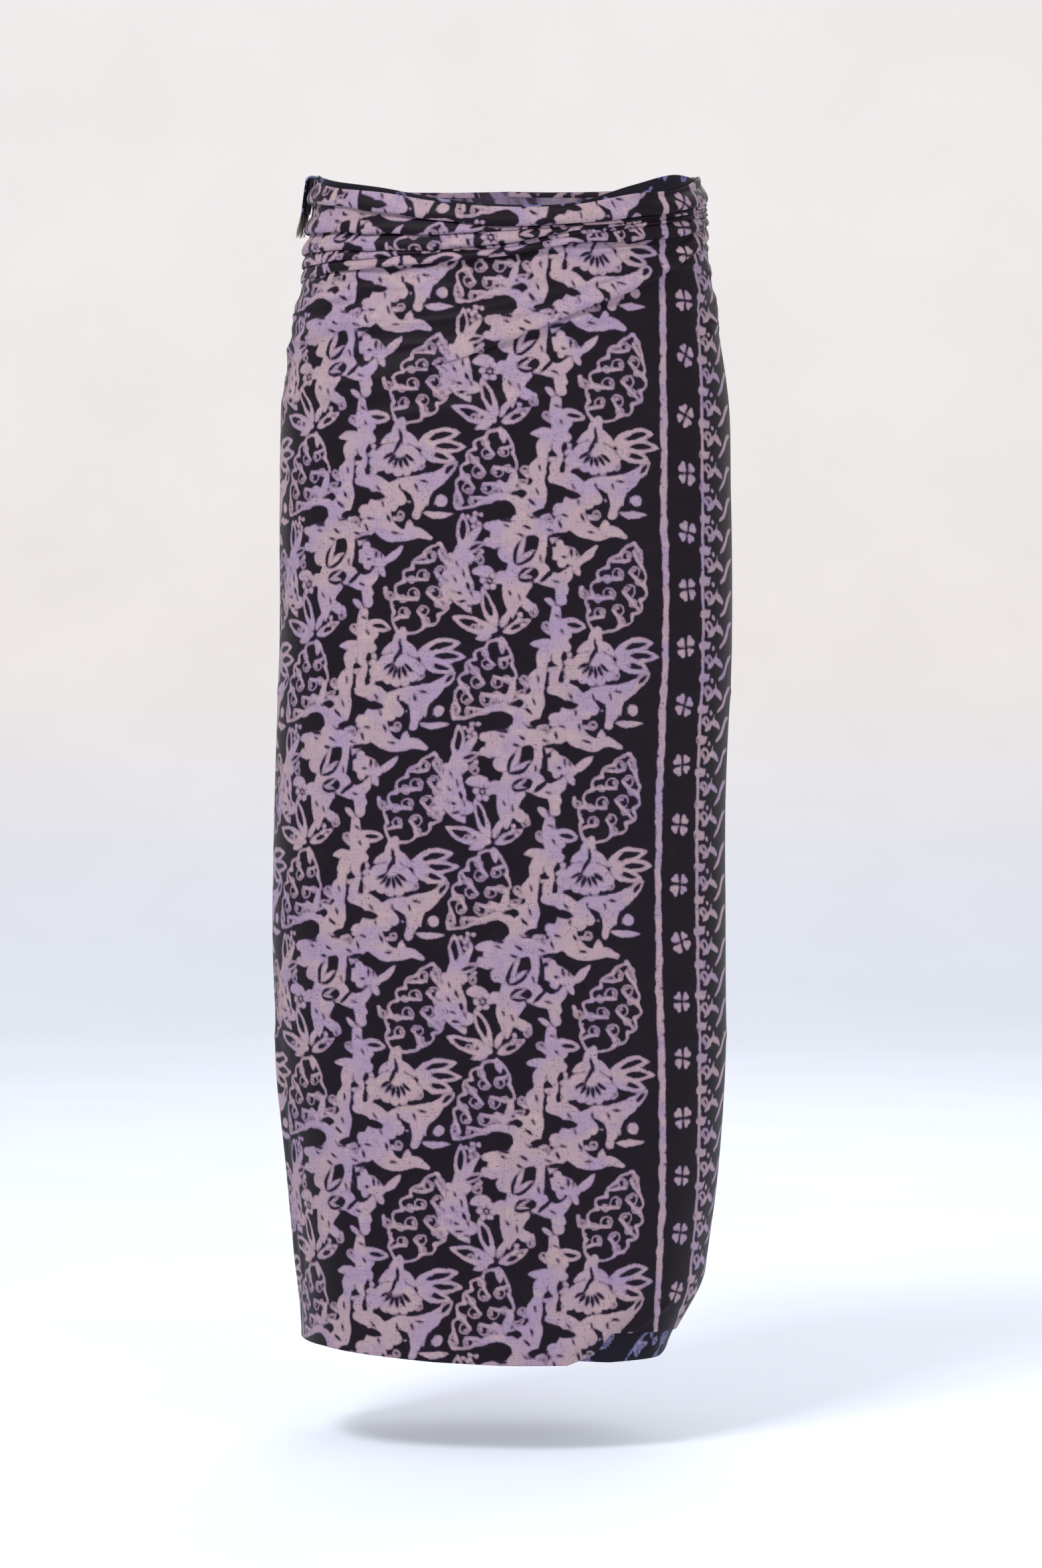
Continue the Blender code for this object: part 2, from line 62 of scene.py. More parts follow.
Section = namedtuple("Section", "height half_width mid_x half_depth mid_y squareness")
SECTIONS = (
    Section(-0.935, 0.1590, -0.0030, 0.1080, 0.000, 2.30),
    Section(-0.879, 0.1620, -0.0020, 0.1080, 0.001, 2.30),
    Section(-0.794, 0.1715, -0.0005, 0.1080, 0.002, 2.40),
    Section(-0.708, 0.1795, -0.0020, 0.1090, 0.003, 2.45),
    Section(-0.623, 0.1818, -0.0045, 0.1110, 0.004, 2.50),
    Section(-0.494, 0.1814, -0.0040, 0.1150, 0.006, 2.50),
    Section(-0.366, 0.1826, 0.0010, 0.1190, 0.008, 2.50),
    Section(-0.240, 0.1815, 0.0010, 0.1220, 0.010, 2.50),
    Section(-0.175, 0.1800, 0.0010, 0.1210, 0.010, 2.50),
    Section(-0.110, 0.1705, 0.0015, 0.1150, 0.008, 2.40),
    Section(-0.045, 0.1605, 0.0025, 0.1060, 0.004, 2.30),
    Section(0.025, 0.1540, 0.0022, 0.1010, 0.003, 2.25),
)
STATIONS = (-1.0, -0.75, -0.50, -0.34, -0.24, -0.12, 0.0, 0.12, 0.24, 0.34, 0.43, 0.50, 0.75, 1.0)
# Heights of the top edges and fold lines, in millimetres, at those shares of the way round.
LINES = {
    "inner_top": (18, 16, 12, -3, -11, -22, -27, -25, -9, 3, 5, 10, 15, 18),
    "outer_top": (15, 12, 9, -8, -15, -25, -29, -27, -16, -9, 4, 11, 13, 15),
    "lip_1": (-3, -6, -11, -22, -31, -40, -45, -42, -35, -26, -16, -9, -5, -3),
    "lip_2": (-14, -20, -36, -43, -48, -51, -48, -44, -37, -28, -19, -13, -11, -14),
    "lip_3": (-24, -32, -53, -58, -61, -63, -58, -48, -39, -30, -22, -17, -18, -24),
    "lip_4": (-34, -44, -64, -67, -67, -65, -61, -52, -42, -34, -26, -21, -26, -34),
    "lip_5": (-46, -56, -75, -76, -75, -73, -68, -58, -53, -46, -34, -28, -36, -46),
    "drag_lip": (-120, -138, -153, -156, -158, -154, -136, -112, -88, -65, -46, -40, -85, -120),
}
# How far each lip stands out, in millimetres.
LIPS = {
    "lip_1": (3.0, 3.5, 3.5, 3.0, 3.5, 4.5, 5.0, 5.0, 4.5, 4.0, 3.5, 3.5, 3.5, 3.0),
    "lip_2": (3.0, 3.5, 3.5, 4.0, 4.0, 4.0, 3.5, 2.0, 1.5, 1.5, 2.0, 3.0, 3.5, 3.0),
    "lip_3": (3.5, 3.5, 3.5, 3.5, 3.5, 4.0, 4.0, 3.5, 2.5, 2.0, 2.5, 3.0, 3.5, 3.5),
    "lip_4": (2.0, 2.0, 2.0, 2.5, 2.5, 2.0, 1.0, 1.5, 3.0, 4.0, 3.5, 3.0, 2.5, 2.0),
    "lip_5": (3.0, 2.5, 1.5, 1.5, 3.5, 4.5, 4.5, 4.0, 3.5, 3.0, 3.5, 3.5, 3.0, 3.0),
    "drag_lip": (0.5, 0.0, 0.0, 0.0, 0.0, 1.0, 3.0, 4.0, 4.5, 4.5, 3.0, 2.0, 1.0, 0.5),
}
# Cloth that each fold hides behind its lip, in millimetres, and the rows that its band is cut into.
Fold = namedtuple("Fold", "name hidden rows")
FOLDS = (
    Fold("lip_1", 22, 11),
    Fold("lip_2", 18, 11),
    Fold("lip_3", 20, 11),
    Fold("lip_4", 12, 9),
    Fold("lip_5", 25, 11),
    Fold("drag_lip", 12, 56),
)
DRAG_HIDES = ((-0.2, 0.0), (0.05, 0.3), (0.4, 1.0), (0.7, 1.0))   # share of the way round, share of it hidden

Hem = namedtuple("Hem", "sigma outer inner")
HEMS = (
    Hem(-1.00, -926, -926), Hem(-0.50, -919, -917), Hem(-0.34, -920, -917), Hem(-0.12, -927, -921),
    Hem(0.00, -929, -924), Hem(0.12, -930, -926), Hem(0.17, -922, -928), Hem(0.20, -906, -929),
    Hem(0.32, -908, -928), Hem(0.43, -911, -921), Hem(0.50, -911, -919), Hem(0.62, -918, -921),
    Hem(1.00, -926, -926),
)

# Soft ridges: from one place to another (share round, height), half width and height of the ridge.
Ridge = namedtuple("Ridge", "sigma_a height_a sigma_b height_b half_width out")
RIDGE_ENDS = 0.25
RIDGES = (
    Ridge(-0.52, -96, -0.26, -93, 6, 3.0),
    Ridge(-0.50, -112, -0.20, -116, 7, 3.5),
    Ridge(-0.46, -84, -0.22, -78, 4, 1.8),
    Ridge(-0.54, -140, -0.10, -104, 9, 2.5),
    Ridge(-0.52, -178, 0.02, -150, 12, 2.2),
    Ridge(0.30, -108, 0.46, -62, 8, 2.5),
    Ridge(0.36, -128, 0.50, -84, 8, 2.2),
    Ridge(-0.44, -640, -0.47, -915, 9, 3.2),
    Ridge(0.015, -700, 0.03, -935, 7, 1.8),
    Ridge(0.10, -926, 0.27, -868, 8, 4.0),
    Ridge(0.56, -60, 0.74, -150, 10, 3.0),
    Ridge(0.95, -90, 0.62, -180, 12, 3.0),
    Ridge(1.10, -70, 1.38, -150, 10, 3.0),
    Ridge(0.80, -560, 0.86, -925, 16, 4.0),
    Ridge(1.16, -520, 1.22, -925, 18, 4.0),
)
# Finer creases that only the looks have.
CREASES = (
    Ridge(0.22, -103, 0.60, -116, 2.2, 1.0),
    Ridge(-0.50, -101, -0.34, -106, 2.2, 1.2),
    Ridge(-0.48, -122, -0.30, -128, 3.0, 1.0),
    Ridge(-0.52, -156, -0.28, -146, 4.0, 0.9),
    Ridge(-0.40, -168, -0.10, -160, 4.0, 0.8),
    Ridge(-0.18, -100, 0.10, -82, 3.5, 0.9),
    Ridge(-0.10, -116, 0.14, -92, 3.0, 0.9),
    Ridge(0.38, -60, 0.50, -44, 2.0, 1.4),
    Ridge(0.40, -74, 0.52, -58, 2.2, 1.3),
    Ridge(0.42, -96, 0.54, -74, 2.6, 1.2),
    Ridge(0.17, -916, 0.24, -880, 2.5, 1.2),
    Ridge(0.20, -912, 0.34, -884, 3.0, 1.2),
    Ridge(-0.40, -700, -0.425, -918, 4.0, 1.2),
    Ridge(0.075, -760, 0.085, -925, 4.0, 0.8),
    Ridge(-0.002, -600, 0.012, -929, 3.2, 2.6),
    Ridge(-0.020, -440, -0.004, -760, 3.6, 1.3),
    Ridge(-0.45, -66, -0.12, -76, 1.8, 1.3),
    Ridge(-0.40, -88, -0.06, -92, 2.0, 1.2),
    Ridge(-0.20, -58, 0.16, -62, 1.7, 1.1),
    Ridge(0.02, -72, 0.34, -52, 1.8, 1.2),
    Ridge(0.10, -92, 0.44, -58, 2.2, 1.4),
    Ridge(-0.30, -126, 0.12, -108, 2.6, 1.3),
    Ridge(-0.46, -142, 0.00, -134, 3.2, 1.4),
    Ridge(-0.48, -170, -0.06, -176, 5.0, 1.3),
    Ridge(-0.36, -206, 0.20, -168, 6.0, 1.5),
    Ridge(-0.50, -228, -0.10, -214, 7.0, 1.2),
    Ridge(-0.51, -108, -0.22, -92, 3.6, 2.2),
    Ridge(-0.49, -133, -0.28, -119, 4.0, 2.0),
    Ridge(-0.10, -140, 0.24, -106, 4.5, 1.8),
)
# Creases pressed in when the cloth lay folded: they run level all the way round, in metres.
PRESSED_HEIGHTS = (-0.404, -0.679)
PRESSED_OUT = 0.0008
PRESSED_WIDE = 0.0050

Wave = namedtuple("Wave", "sigma half_width_sigma top full out")
WAVES = (
    Wave(-0.30, 0.10, -0.560, -0.90, 0.0035),
    Wave(0.02, 0.07, -0.620, -0.92, 0.0030),
    Wave(0.78, 0.09, -0.300, -0.80, 0.0070),
    Wave(1.00, 0.07, -0.280, -0.85, -0.0060),
    Wave(1.22, 0.09, -0.300, -0.80, 0.0070),
)
CORNER_TOP = -0.865
CORNER_DROP = 0.070
CORNER_IN = 0.024
Window = namedtuple("Window", "start rise fall_start fall")
CORNER_WINDOW = Window(0.26, 0.20, 0.60, 0.22)

# Uneven relief of the hanging cloth: size across and down and height, in millimetres, and a seed.
Relief = namedtuple("Relief", "wide high out seed")
RELIEFS = (
    Relief(110, 170, 0.9, 1),
    Relief(36, 64, 0.35, 2),
    Relief(9, 11, 0.07, 3),
)
DEEPEST_RELIEF = -0.9
WOBBLE = Relief(26, 40, 0.9, 4)       # how far the fold lines stray
SWELL = Relief(34, 30, 0.22, 5)       # how unevenly the lips stand out, as a share

FRONT_STEP = 0.0027     # spacing of the front's columns, as a share of the way round
SIDE_STEP = 0.0043
FRONT_FINE = (-0.40, 0.42)            # where they are closest together
INNER_STEP = 0.0045
BODY_ROWS = (205, 205, 180)           # rows of the three front stretches under the waist
BACK_BODY_ROWS = (120, 110, 110)
BREAKS = (-0.404, -0.679)             # heights at which the front's stretches are divided
# The swell above a lip fills this share of its height; the rest rounds under the lip.
SWELL_SHARE = 0.72
LIP_TURNS = (18, 36, 56, 76, 96, 122, 150)     # degrees round the lip
UNDER_FROM = 90                                # where its underside begins
# How a free edge of the cloth rounds over to its reverse: along the cloth, share of its thickness.
RIM = ((0.0045, 1.0), (0.0006, 1.0), (0.0, 0.70), (-0.0001, 0.34))


def smooth(at, knots, values):
    """Cubic through the knots, level beyond the ends."""
    knots = np.asarray(knots, float)
    values = np.asarray(values, float)
    slope = np.gradient(values, knots)
    at = np.clip(at, knots[0], knots[-1])
    i = np.clip(np.searchsorted(knots, at, side="right") - 1, 0, len(knots) - 2)
    span = knots[i + 1] - knots[i]
    t = (at - knots[i]) / span
    start = (1 + 2 * t) * (1 - t) ** 2 * values[i] + t * (1 - t) ** 2 * span * slope[i]
    end = t * t * (3 - 2 * t) * values[i + 1] + t * t * (t - 1) * span * slope[i + 1]
    return start + end


def ease(t):
    """0 to 1 with soft ends."""
    t = np.clip(t, 0, 1)
    return t * t * (3 - 2 * t)


def wrap(sigma):
    """Sigma brought back to -1 .. 1."""
    return (np.asarray(sigma, float) + 1) % 2 - 1


def mottle(x, y, seed, lattice=64):
    """Soft uneven values between -1 and 1, one bump to each unit of x and y."""
    table = np.random.default_rng(seed).uniform(-1, 1, (lattice, lattice))
    x0, y0 = np.floor(x).astype(int), np.floor(y).astype(int)
    tx, ty = ease(x - x0), ease(y - y0)
    near = table[y0 % lattice, x0 % lattice] * (1 - tx) + table[y0 % lattice, (x0 + 1) % lattice] * tx
    far = table[(y0 + 1) % lattice, x0 % lattice] * (1 - tx) + table[(y0 + 1) % lattice, (x0 + 1) % lattice] * tx
    return near * (1 - ty) + far * ty


def uneven(relief, across, down):
    """The relief's soft unevenness at a place on the cloth, in its own unit."""
    return relief.out * mottle(across / (relief.wide * MM) + 31.7, down / (relief.high * MM) + 17.3, relief.seed)


def section_at(height):
    """Half width, middle x, half depth, middle y and squareness at a height."""
    knots = [s.height for s in SECTIONS]
    return [smooth(height, knots, [s[k] for s in SECTIONS]) for k in range(1, 6)]


ANGLES = np.linspace(-math.pi, math.pi, 721)
ARC_HEIGHTS = np.linspace(-0.96, 0.03, 100)


def arc_tables():
    """For a fan of heights, the bearing at each share of the way round, and the way round."""
    shares = np.linspace(-1, 1, 721)
    bearings = []
    half_rounds = []
    for height in ARC_HEIGHTS:
        a, _, b, _, n = section_at(height)
        reach = (np.abs(np.sin(ANGLES) / a) ** n + np.abs(np.cos(ANGLES) / b) ** n) ** (-1 / n)
        x = reach * np.sin(ANGLES)
        y = -reach * np.cos(ANGLES)
        way = np.concatenate([[0], np.cumsum(np.hypot(np.diff(x), np.diff(y)))])
        half = way[-1] / 2
        bearings.append(np.interp(shares * half, way - half, ANGLES))
        half_rounds.append(half)
    return shares, np.array(bearings), np.array(half_rounds)


SHARES, BEARINGS, HALF_ROUNDS = arc_tables()


def bearing_at(sigma, height):
    """Bearing from the front, in radians, of a share of the way round at a height."""
    row = np.interp(height, ARC_HEIGHTS, np.arange(len(ARC_HEIGHTS)))
    col = np.interp(wrap(sigma), SHARES, np.arange(len(SHARES)))
    r0 = np.clip(row.astype(int), 0, len(ARC_HEIGHTS) - 2)
    c0 = np.clip(col.astype(int), 0, len(SHARES) - 2)
    fr = row - r0
    fc = col - c0
    near = BEARINGS[r0, c0] * (1 - fc) + BEARINGS[r0, c0 + 1] * fc
    far = BEARINGS[r0 + 1, c0] * (1 - fc) + BEARINGS[r0 + 1, c0 + 1] * fc
    return near * (1 - fr) + far * fr


def waves(sigma, height):
    """Outward sway of the hanging cloth."""
    total = np.zeros(np.broadcast(sigma, height).shape)
    for wave in WAVES:
        off = (wrap(sigma - wave.sigma)) / wave.half_width_sigma
        total = total + wave.out * np.exp(-off ** 2) * ease((wave.top - height) / (wave.top - wave.full))
    return total


def corner_in(sigma, height):
    """How far the lower left corner swings in."""
    s = wrap(sigma)
    w = CORNER_WINDOW
    window = ease((s - w.start) / w.rise) * (1 - ease((s - w.fall_start) / w.fall))
    return CORNER_IN * ease((CORNER_TOP - height) / CORNER_DROP) * window


def place(sigma, height, out):
    """Points of the cloth: a share of the way round, a height, and a distance off the section."""
    sigma, height, out = np.broadcast_arrays(np.asarray(sigma, float), height, out)
    a, mid_x, b, mid_y, n = section_at(height)
    angle = bearing_at(sigma, height)
    sine, cosine = np.sin(angle), np.cos(angle)
    reach = (np.abs(sine / a) ** n + np.abs(cosine / b) ** n) ** (-1 / n)
    x, y = reach * sine, -reach * cosine
    nx = np.sign(x) * np.abs(x / a) ** (n - 1) / a
    ny = np.sign(y) * np.abs(y / b) ** (n - 1) / b
    size = np.hypot(nx, ny)
    off = out + waves(sigma, height)
    x = x + mid_x + off * nx / size - corner_in(sigma, height)
    y = y + mid_y + off * ny / size
    return np.stack([x, y, height], axis=-1)


def line(name, sigma):
    """Height of a top edge or fold line, in metres."""
    return smooth(wrap(sigma), STATIONS, LINES[name]) * MM


def lip(name, sigma):
    """How far a lip stands out, in metres."""
    return LIP_CRISP * smooth(wrap(sigma), STATIONS, LIPS[name]) * MM


def hem(side, sigma):
    """Height of the outer or inner bottom edge, in metres."""
    return np.interp(wrap(sigma), [h.sigma for h in HEMS], [getattr(h, side) for h in HEMS]) * MM


def ridges(table, sigma, height):
    """Outward relief of soft ridges or creases."""
    total = np.zeros(np.broadcast(sigma, height).shape)
    for ridge in table:
        ax, ay = ridge.sigma_a * HALF_ROUND, ridge.height_a * MM
        bx, by = ridge.sigma_b * HALF_ROUND, ridge.height_b * MM
        middle = (ridge.sigma_a + ridge.sigma_b) / 2
        px = (wrap(sigma - middle) + middle) * HALF_ROUND
        length = (bx - ax) ** 2 + (by - ay) ** 2
        t = ((px - ax) * (bx - ax) + (height - ay) * (by - ay)) / length
        along = np.clip(t, 0, 1)
        away = np.hypot(px - ax - along * (bx - ax), height - ay - along * (by - ay))
        swell = ease(along / RIDGE_ENDS) * ease((1 - along) / RIDGE_ENDS)
        total = total + ridge.out * MM * swell * np.exp(-(away / (ridge.half_width * MM)) ** 2)
    return total


def hanging_relief(sigma, height):
    """Everything uneven about the hanging cloth but its fold lips."""
    across = wrap(sigma) * HALF_ROUND
    soft = sum(uneven(relief, across, height) for relief in RELIEFS)
    total = np.maximum(soft, DEEPEST_RELIEF) * MM
    for pressed in PRESSED_HEIGHTS:
        total = total + PRESSED_OUT * np.exp(-np.abs(height - pressed) / PRESSED_WIDE)
    return total + ridges(RIDGES, sigma, height) + ridges(CREASES, sigma, height)


# A stretch of the cloth as a grid: rows from the top down, columns round the body. For each point
# its share of the way round, height, distance off the section, and length of cloth above it.
Grid = namedtuple("Grid", "sigma height out down")


def outer_grid(sigma, body_rows, with_folds=FOLDS):
    """The folded outer surface, and the rows at which its stretches are divided."""
    flat = np.zeros_like(sigma)
    across = wrap(sigma) * HALF_ROUND
    upper = line("outer_top", sigma)
    hidden_each = []
    for fold in with_folds:
        share = np.interp(wrap(sigma), *zip(*DRAG_HIDES)) if fold.name == "drag_lip" else 1.0
        hidden_each.append(fold.hidden * MM * share + flat)
    hidden = sum(hidden_each)
    rows = [(upper - drop, -WALL * share, hidden) for drop, share in RIM]
    for fold, hides in zip(with_folds, hidden_each):
        lower = line(fold.name, sigma) + uneven(WOBBLE, across, upper + across * 0.3) * MM
        lower = np.minimum(lower, upper - MIN_BAND)
        band = upper - lower
        reach = np.minimum(band, LIP_REACH)
        out = np.minimum(lip(fold.name, sigma) * (1 + uneven(SWELL, across, lower)), LIP_STEEP * band)
        out = np.maximum(out, 0)
        round_high = (1 - SWELL_SHARE) * reach
        for k in range(1, fold.rows + 1):
            height = upper - (band - round_high) * k / fold.rows
            near = np.clip(1 - (height - lower) / reach, 0, SWELL_SHARE) / SWELL_SHARE
            rows.append((height, out * np.sin(near * math.pi / 2), hidden))
        tuck = np.minimum(TUCK_UP, 0.3 * band) * (2 * np.clip(out / 0.002, 0, 1) - 1)
        for turn in LIP_TURNS:
            sine, cosine = math.sin(math.radians(turn)), math.cos(math.radians(turn))
            share = out * (0.5 + 0.5 * cosine)
            if turn <= UNDER_FROM:
                rows.append((lower + round_high * (1 - sine), share, hidden))
            else:
                under = (turn - UNDER_FROM) / (LIP_TURNS[-1] - UNDER_FROM)
                rows.append((lower + tuck * under, share, hidden - hides * under))
        hidden = hidden - hides
        upper = lower + tuck
    breaks = [len(rows) - 1]
    hem_line = hem("outer", sigma)
    for count, low in zip(body_rows, [flat + h for h in BREAKS] + [hem_line]):
        rows += [(upper + (low - upper) * k / count, flat, hidden) for k in range(1, count + 1)]
        upper = low
        breaks.append(len(rows) - 1)
    rows += [(hem_line + drop, -WALL * share, hidden) for drop, share in RIM[::-1]]
    breaks[-1] = len(rows) - 1
    height = np.array([r[0] + flat for r in rows])
    out = np.array([r[1] + flat for r in rows])
    down = np.array([r[2] + flat for r in rows])
    sigma = np.broadcast_to(sigma, height.shape)
    return Grid(sigma, height, out + hanging_relief(sigma, height), -height - down), breaks


def round_length(grid):
    """Length of cloth from the front's middle to each point, the cloth wound on without a break."""
    return grid.sigma * np.interp(grid.height, ARC_HEIGHTS, HALF_ROUNDS)


def steps_along(points):
    """Share of the way along its rows and columns at which each row and column lies."""
    shares = []
    for axis in (0, 1):
        steps = np.linalg.norm(np.diff(points, axis=axis), axis=-1).mean(axis=1 - axis)
        way = np.concatenate([[0], np.cumsum(steps)])
        shares.append(way / way[-1])
    return shares


def sheet_mesh(name, points, cloth, wax, flip=False):
    """A sheet as a mesh of four-cornered faces, with its cloth map, its bake map and its print."""
    rows, cols = points.shape[:2]
    index = np.arange(rows * cols).reshape(rows, cols)
    corners = [index[:-1, :-1], index[1:, :-1], index[1:, 1:], index[:-1, 1:]]
    faces = np.stack(corners[::-1] if flip else corners, axis=-1).reshape(-1, 4)
    mesh = bpy.data.meshes.new(name)
    mesh.from_pydata(points.reshape(-1, 3).tolist(), [], faces.tolist())
    mesh.shade_smooth()
    down, across = steps_along(points)
    bake = np.stack(np.broadcast_arrays(across[None, :], 1 - down[:, None]), axis=-1)
    for map_name, at in (("OFBake", bake), ("Cloth", cloth)):
        layer = mesh.uv_layers.new(name=map_name)
        layer.data.foreach_set("uv", at.reshape(-1, 2)[faces.ravel()].ravel())
    mesh.attributes.new("wax", "FLOAT", "POINT").data.foreach_set("value", wax.ravel().astype(np.float32))
    return mesh


def show(name, mesh, material, node):
    """Puts a mesh in the scene as a piece that stands for a node."""
    mesh.materials.append(material)
    piece = bpy.data.objects.new(name, mesh)
    bpy.context.scene.collection.objects.link(piece)
    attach(piece, "root")
    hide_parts(node)
    return piece


# The print. One stamp of it is drawn here from a few kinds of batik motif, on a ground of 152 by 162
# units of about a millimetre, x to the right and y down. A limb is a chain of round spots: x, y and
# radius. Turns are in degrees from the right, clockwise.
CHART_WIDE, CHART_HIGH = 152, 162
CHART_OVERHANG = 26
CELL = 0.5
REACH = 4.0
CHAIN_STEPS = 5

Leaf = namedtuple("Leaf", "x y turn length width bend slit")
LEAVES = (
    # the long-petalled flower
    Leaf(48, 66, 192, 38, 13, 0.10, 0.42), Leaf(47, 63, 246, 33, 11, 0.04, 0.40), Leaf(50, 63, 292, 17, 6, 0.10, 0),
    Leaf(51, 67, -20, 25, 9, -0.12, 0.40), Leaf(44, 67, 150, 14, 6, 0.20, 0), Leaf(50, 70, 74, 13, 6, 0.1, 0),
    # the leaf by the rosette, the stalk's leaves, the bud's sepal
    Leaf(29, 21, -24, 15, 9, 0.30, 0), Leaf(95, 60, 4, 21, 11, 0.06, 0.28), Leaf(93, 75, 184, 20, 8, -0.10, 0),
    Leaf(110, 13, -34, 21, 7, -0.14, 0), Leaf(106, 14, 52, 10, 6, 0.1, 0),
    # the plume beside the fan
    Leaf(138, 84, -30, 34, 13, 0.26, 0.34), Leaf(140, 86, -4, 36, 12, 0.06, 0.36), Leaf(141, 88, 22, 27, 12, -0.10, 0.30),
    # the tuft under the spotted leaf, the sprig, the crescent, the long body's ear
    Leaf(21, 166, -94, 29, 11, 0.05, 0.42), Leaf(23, 165, -64, 23, 7, 0.10, 0), Leaf(20, 167, -26, 19, 8, 0.10, 0.30),
    Leaf(57, 121, -78, 19, 7, 0.08, 0), Leaf(57, 119, -34, 17, 7, 0.10, 0.34), Leaf(56, 121, 228, 12, 6, 0, 0),
    Leaf(142, 136, 16, 23, 6, -0.22, 0), Leaf(157, 110, -58, 17, 9, 0.16, 0.34),
    # small leaves that stand off the limbs
    Leaf(84, 40, 34, 11, 5, 0.1, 0), Leaf(73, 118, 196, 11, 5, 0.1, 0), Leaf(100, 108, -62, 10, 4.6, 0.1, 0),
    Leaf(128, 150, -70, 10, 4.4, 0.1, 0), Leaf(12, 38, 160, 12, 5, 0.1, 0), Leaf(112, 100, 160, 9, 4, 0.1, 0),
    Leaf(62, 150, -104, 11, 5, 0.1, 0), Leaf(47, 1, 216, 11, 6, 0.1, 0),
)
Body = namedtuple("Body", "spine lobes")
BODIES = (
    # the spotted leaf
    Body(((27, 51, 1.5), (22, 43, 7), (18, 32, 12), (17, 20, 10), (18, 8, 6), (20, -2, 4)),
         ((8, 34, 6), (29, 40, 6), (8, 22, 4), (26, 9, 4.5), (12, 8, 3.5))),
    # the great lobed leaf and its arm
    Body(((59, 55, 1.5), (59, 44, 7), (62, 30, 12), (70, 14, 15), (72, -4, 14), (66, -18, 9)),
         ((51, 24, 6), (54, 6, 7), (50, -5, 7), (40, -3, 4), (71, 46, 5), (81, 20, 8), (84, -6, 8))),
    Body(((80, 22, 8), (92, 27, 6.5), (101, 23, 5), (104, 16, 1.5)), ((99, 35, 4), (97, 42, 5))),
    # the bud
    Body(((92, 6, 6), (101, 7, 8), (110, 12, 4)), ((96, -1, 4), (97, 14, 4))),
    # the stalk, and the beaded vine and the thin vine that it stands on
    Body(((93, 50, 4.5), (93, 60, 6), (96, 70, 8), (93, 78, 6)), ((102, 68, 4), (101, 78, 4.5))),
    Body(((90, 78, 4), (83, 84, 6), (82, 94, 4.4), (79, 103, 7.5), (80, 112, 5.4), (78, 122, 9), (76, 132, 8)),
         ((72, 118, 4), (86, 88, 3))),
    Body(((97, 78, 4), (93, 86, 4.5), (96, 93, 2.6), (92, 101, 4.6), (93, 109, 4)), ()),
    # the low body and the long one
    Body(((91, 110, 4.5), (103, 112, 7), (111, 121, 9), (106, 134, 11), (112, 147, 9), (124, 153, 6), (137, 151, 5), (147, 155, 2.5)),
         ((95, 134, 6), (97, 146, 8), (88, 154, 7), (118, 130, 5), (132, 145, 3))),
    Body(((114, 118, 5), (126, 113, 5.5), (140, 115, 9), (153, 110, 7), (160, 103, 3)),
         ((124, 126, 5.5), (138, 129, 7), (147, 127, 5), (137, 138, 4))),
    # the arm over the pool, and what lies below it
    Body(((35, 128, 1.2), (45, 125, 3.2), (56, 124, 4), (65, 130, 4.6), (67, 142, 5)), ((72, 127, 6),)),
    Body(((40, 147, 4), (52, 148, 7), (66, 149, 9), (80, 148, 8), (90, 152, 6)), ((60, 158, 7), (46, 154, 5))),
)
BODY_FULL = 0.90
Wing = namedtuple("Wing", "x y turn length half_width bend")
WINGS = (Wing(123, 66, -65, 75, 21, 0.06), Wing(52, 73, 121, 70, 20, -0.10))
WING_SCALLOPS, WING_STEPS = 6, 84
WING_CURLS = (0.15, 0.25, 0.36, 0.47, 0.58, 0.68, 0.79, 0.88)      # where they lie along the wing
WING_FORKS_FROM = 16         # half width from which a curl has a second one
Fan = namedtuple("Fan", "x y turn size")
FANS = (Fan(126, 64, 96, 44),)
FAN_PETALS, FAN_SPREAD = 7, 132
# A dark leaf with light ones inside, in the great leaf and the long body.
Pocket = namedtuple("Pocket", "x y turn length width inner")
POCKETS = (
    Pocket(62, 13, -52, 25, 15, 0.50), Pocket(64, 24, -14, 15, 11, 0.46), Pocket(97, 121, 8, 15, 6, 0),
    Pocket(75, 137, -6, 16, 6, 0), Pocket(132, 122, 84, 14, 3.4, 0), Pocket(150, 120, 100, 17, 4, 0),
)
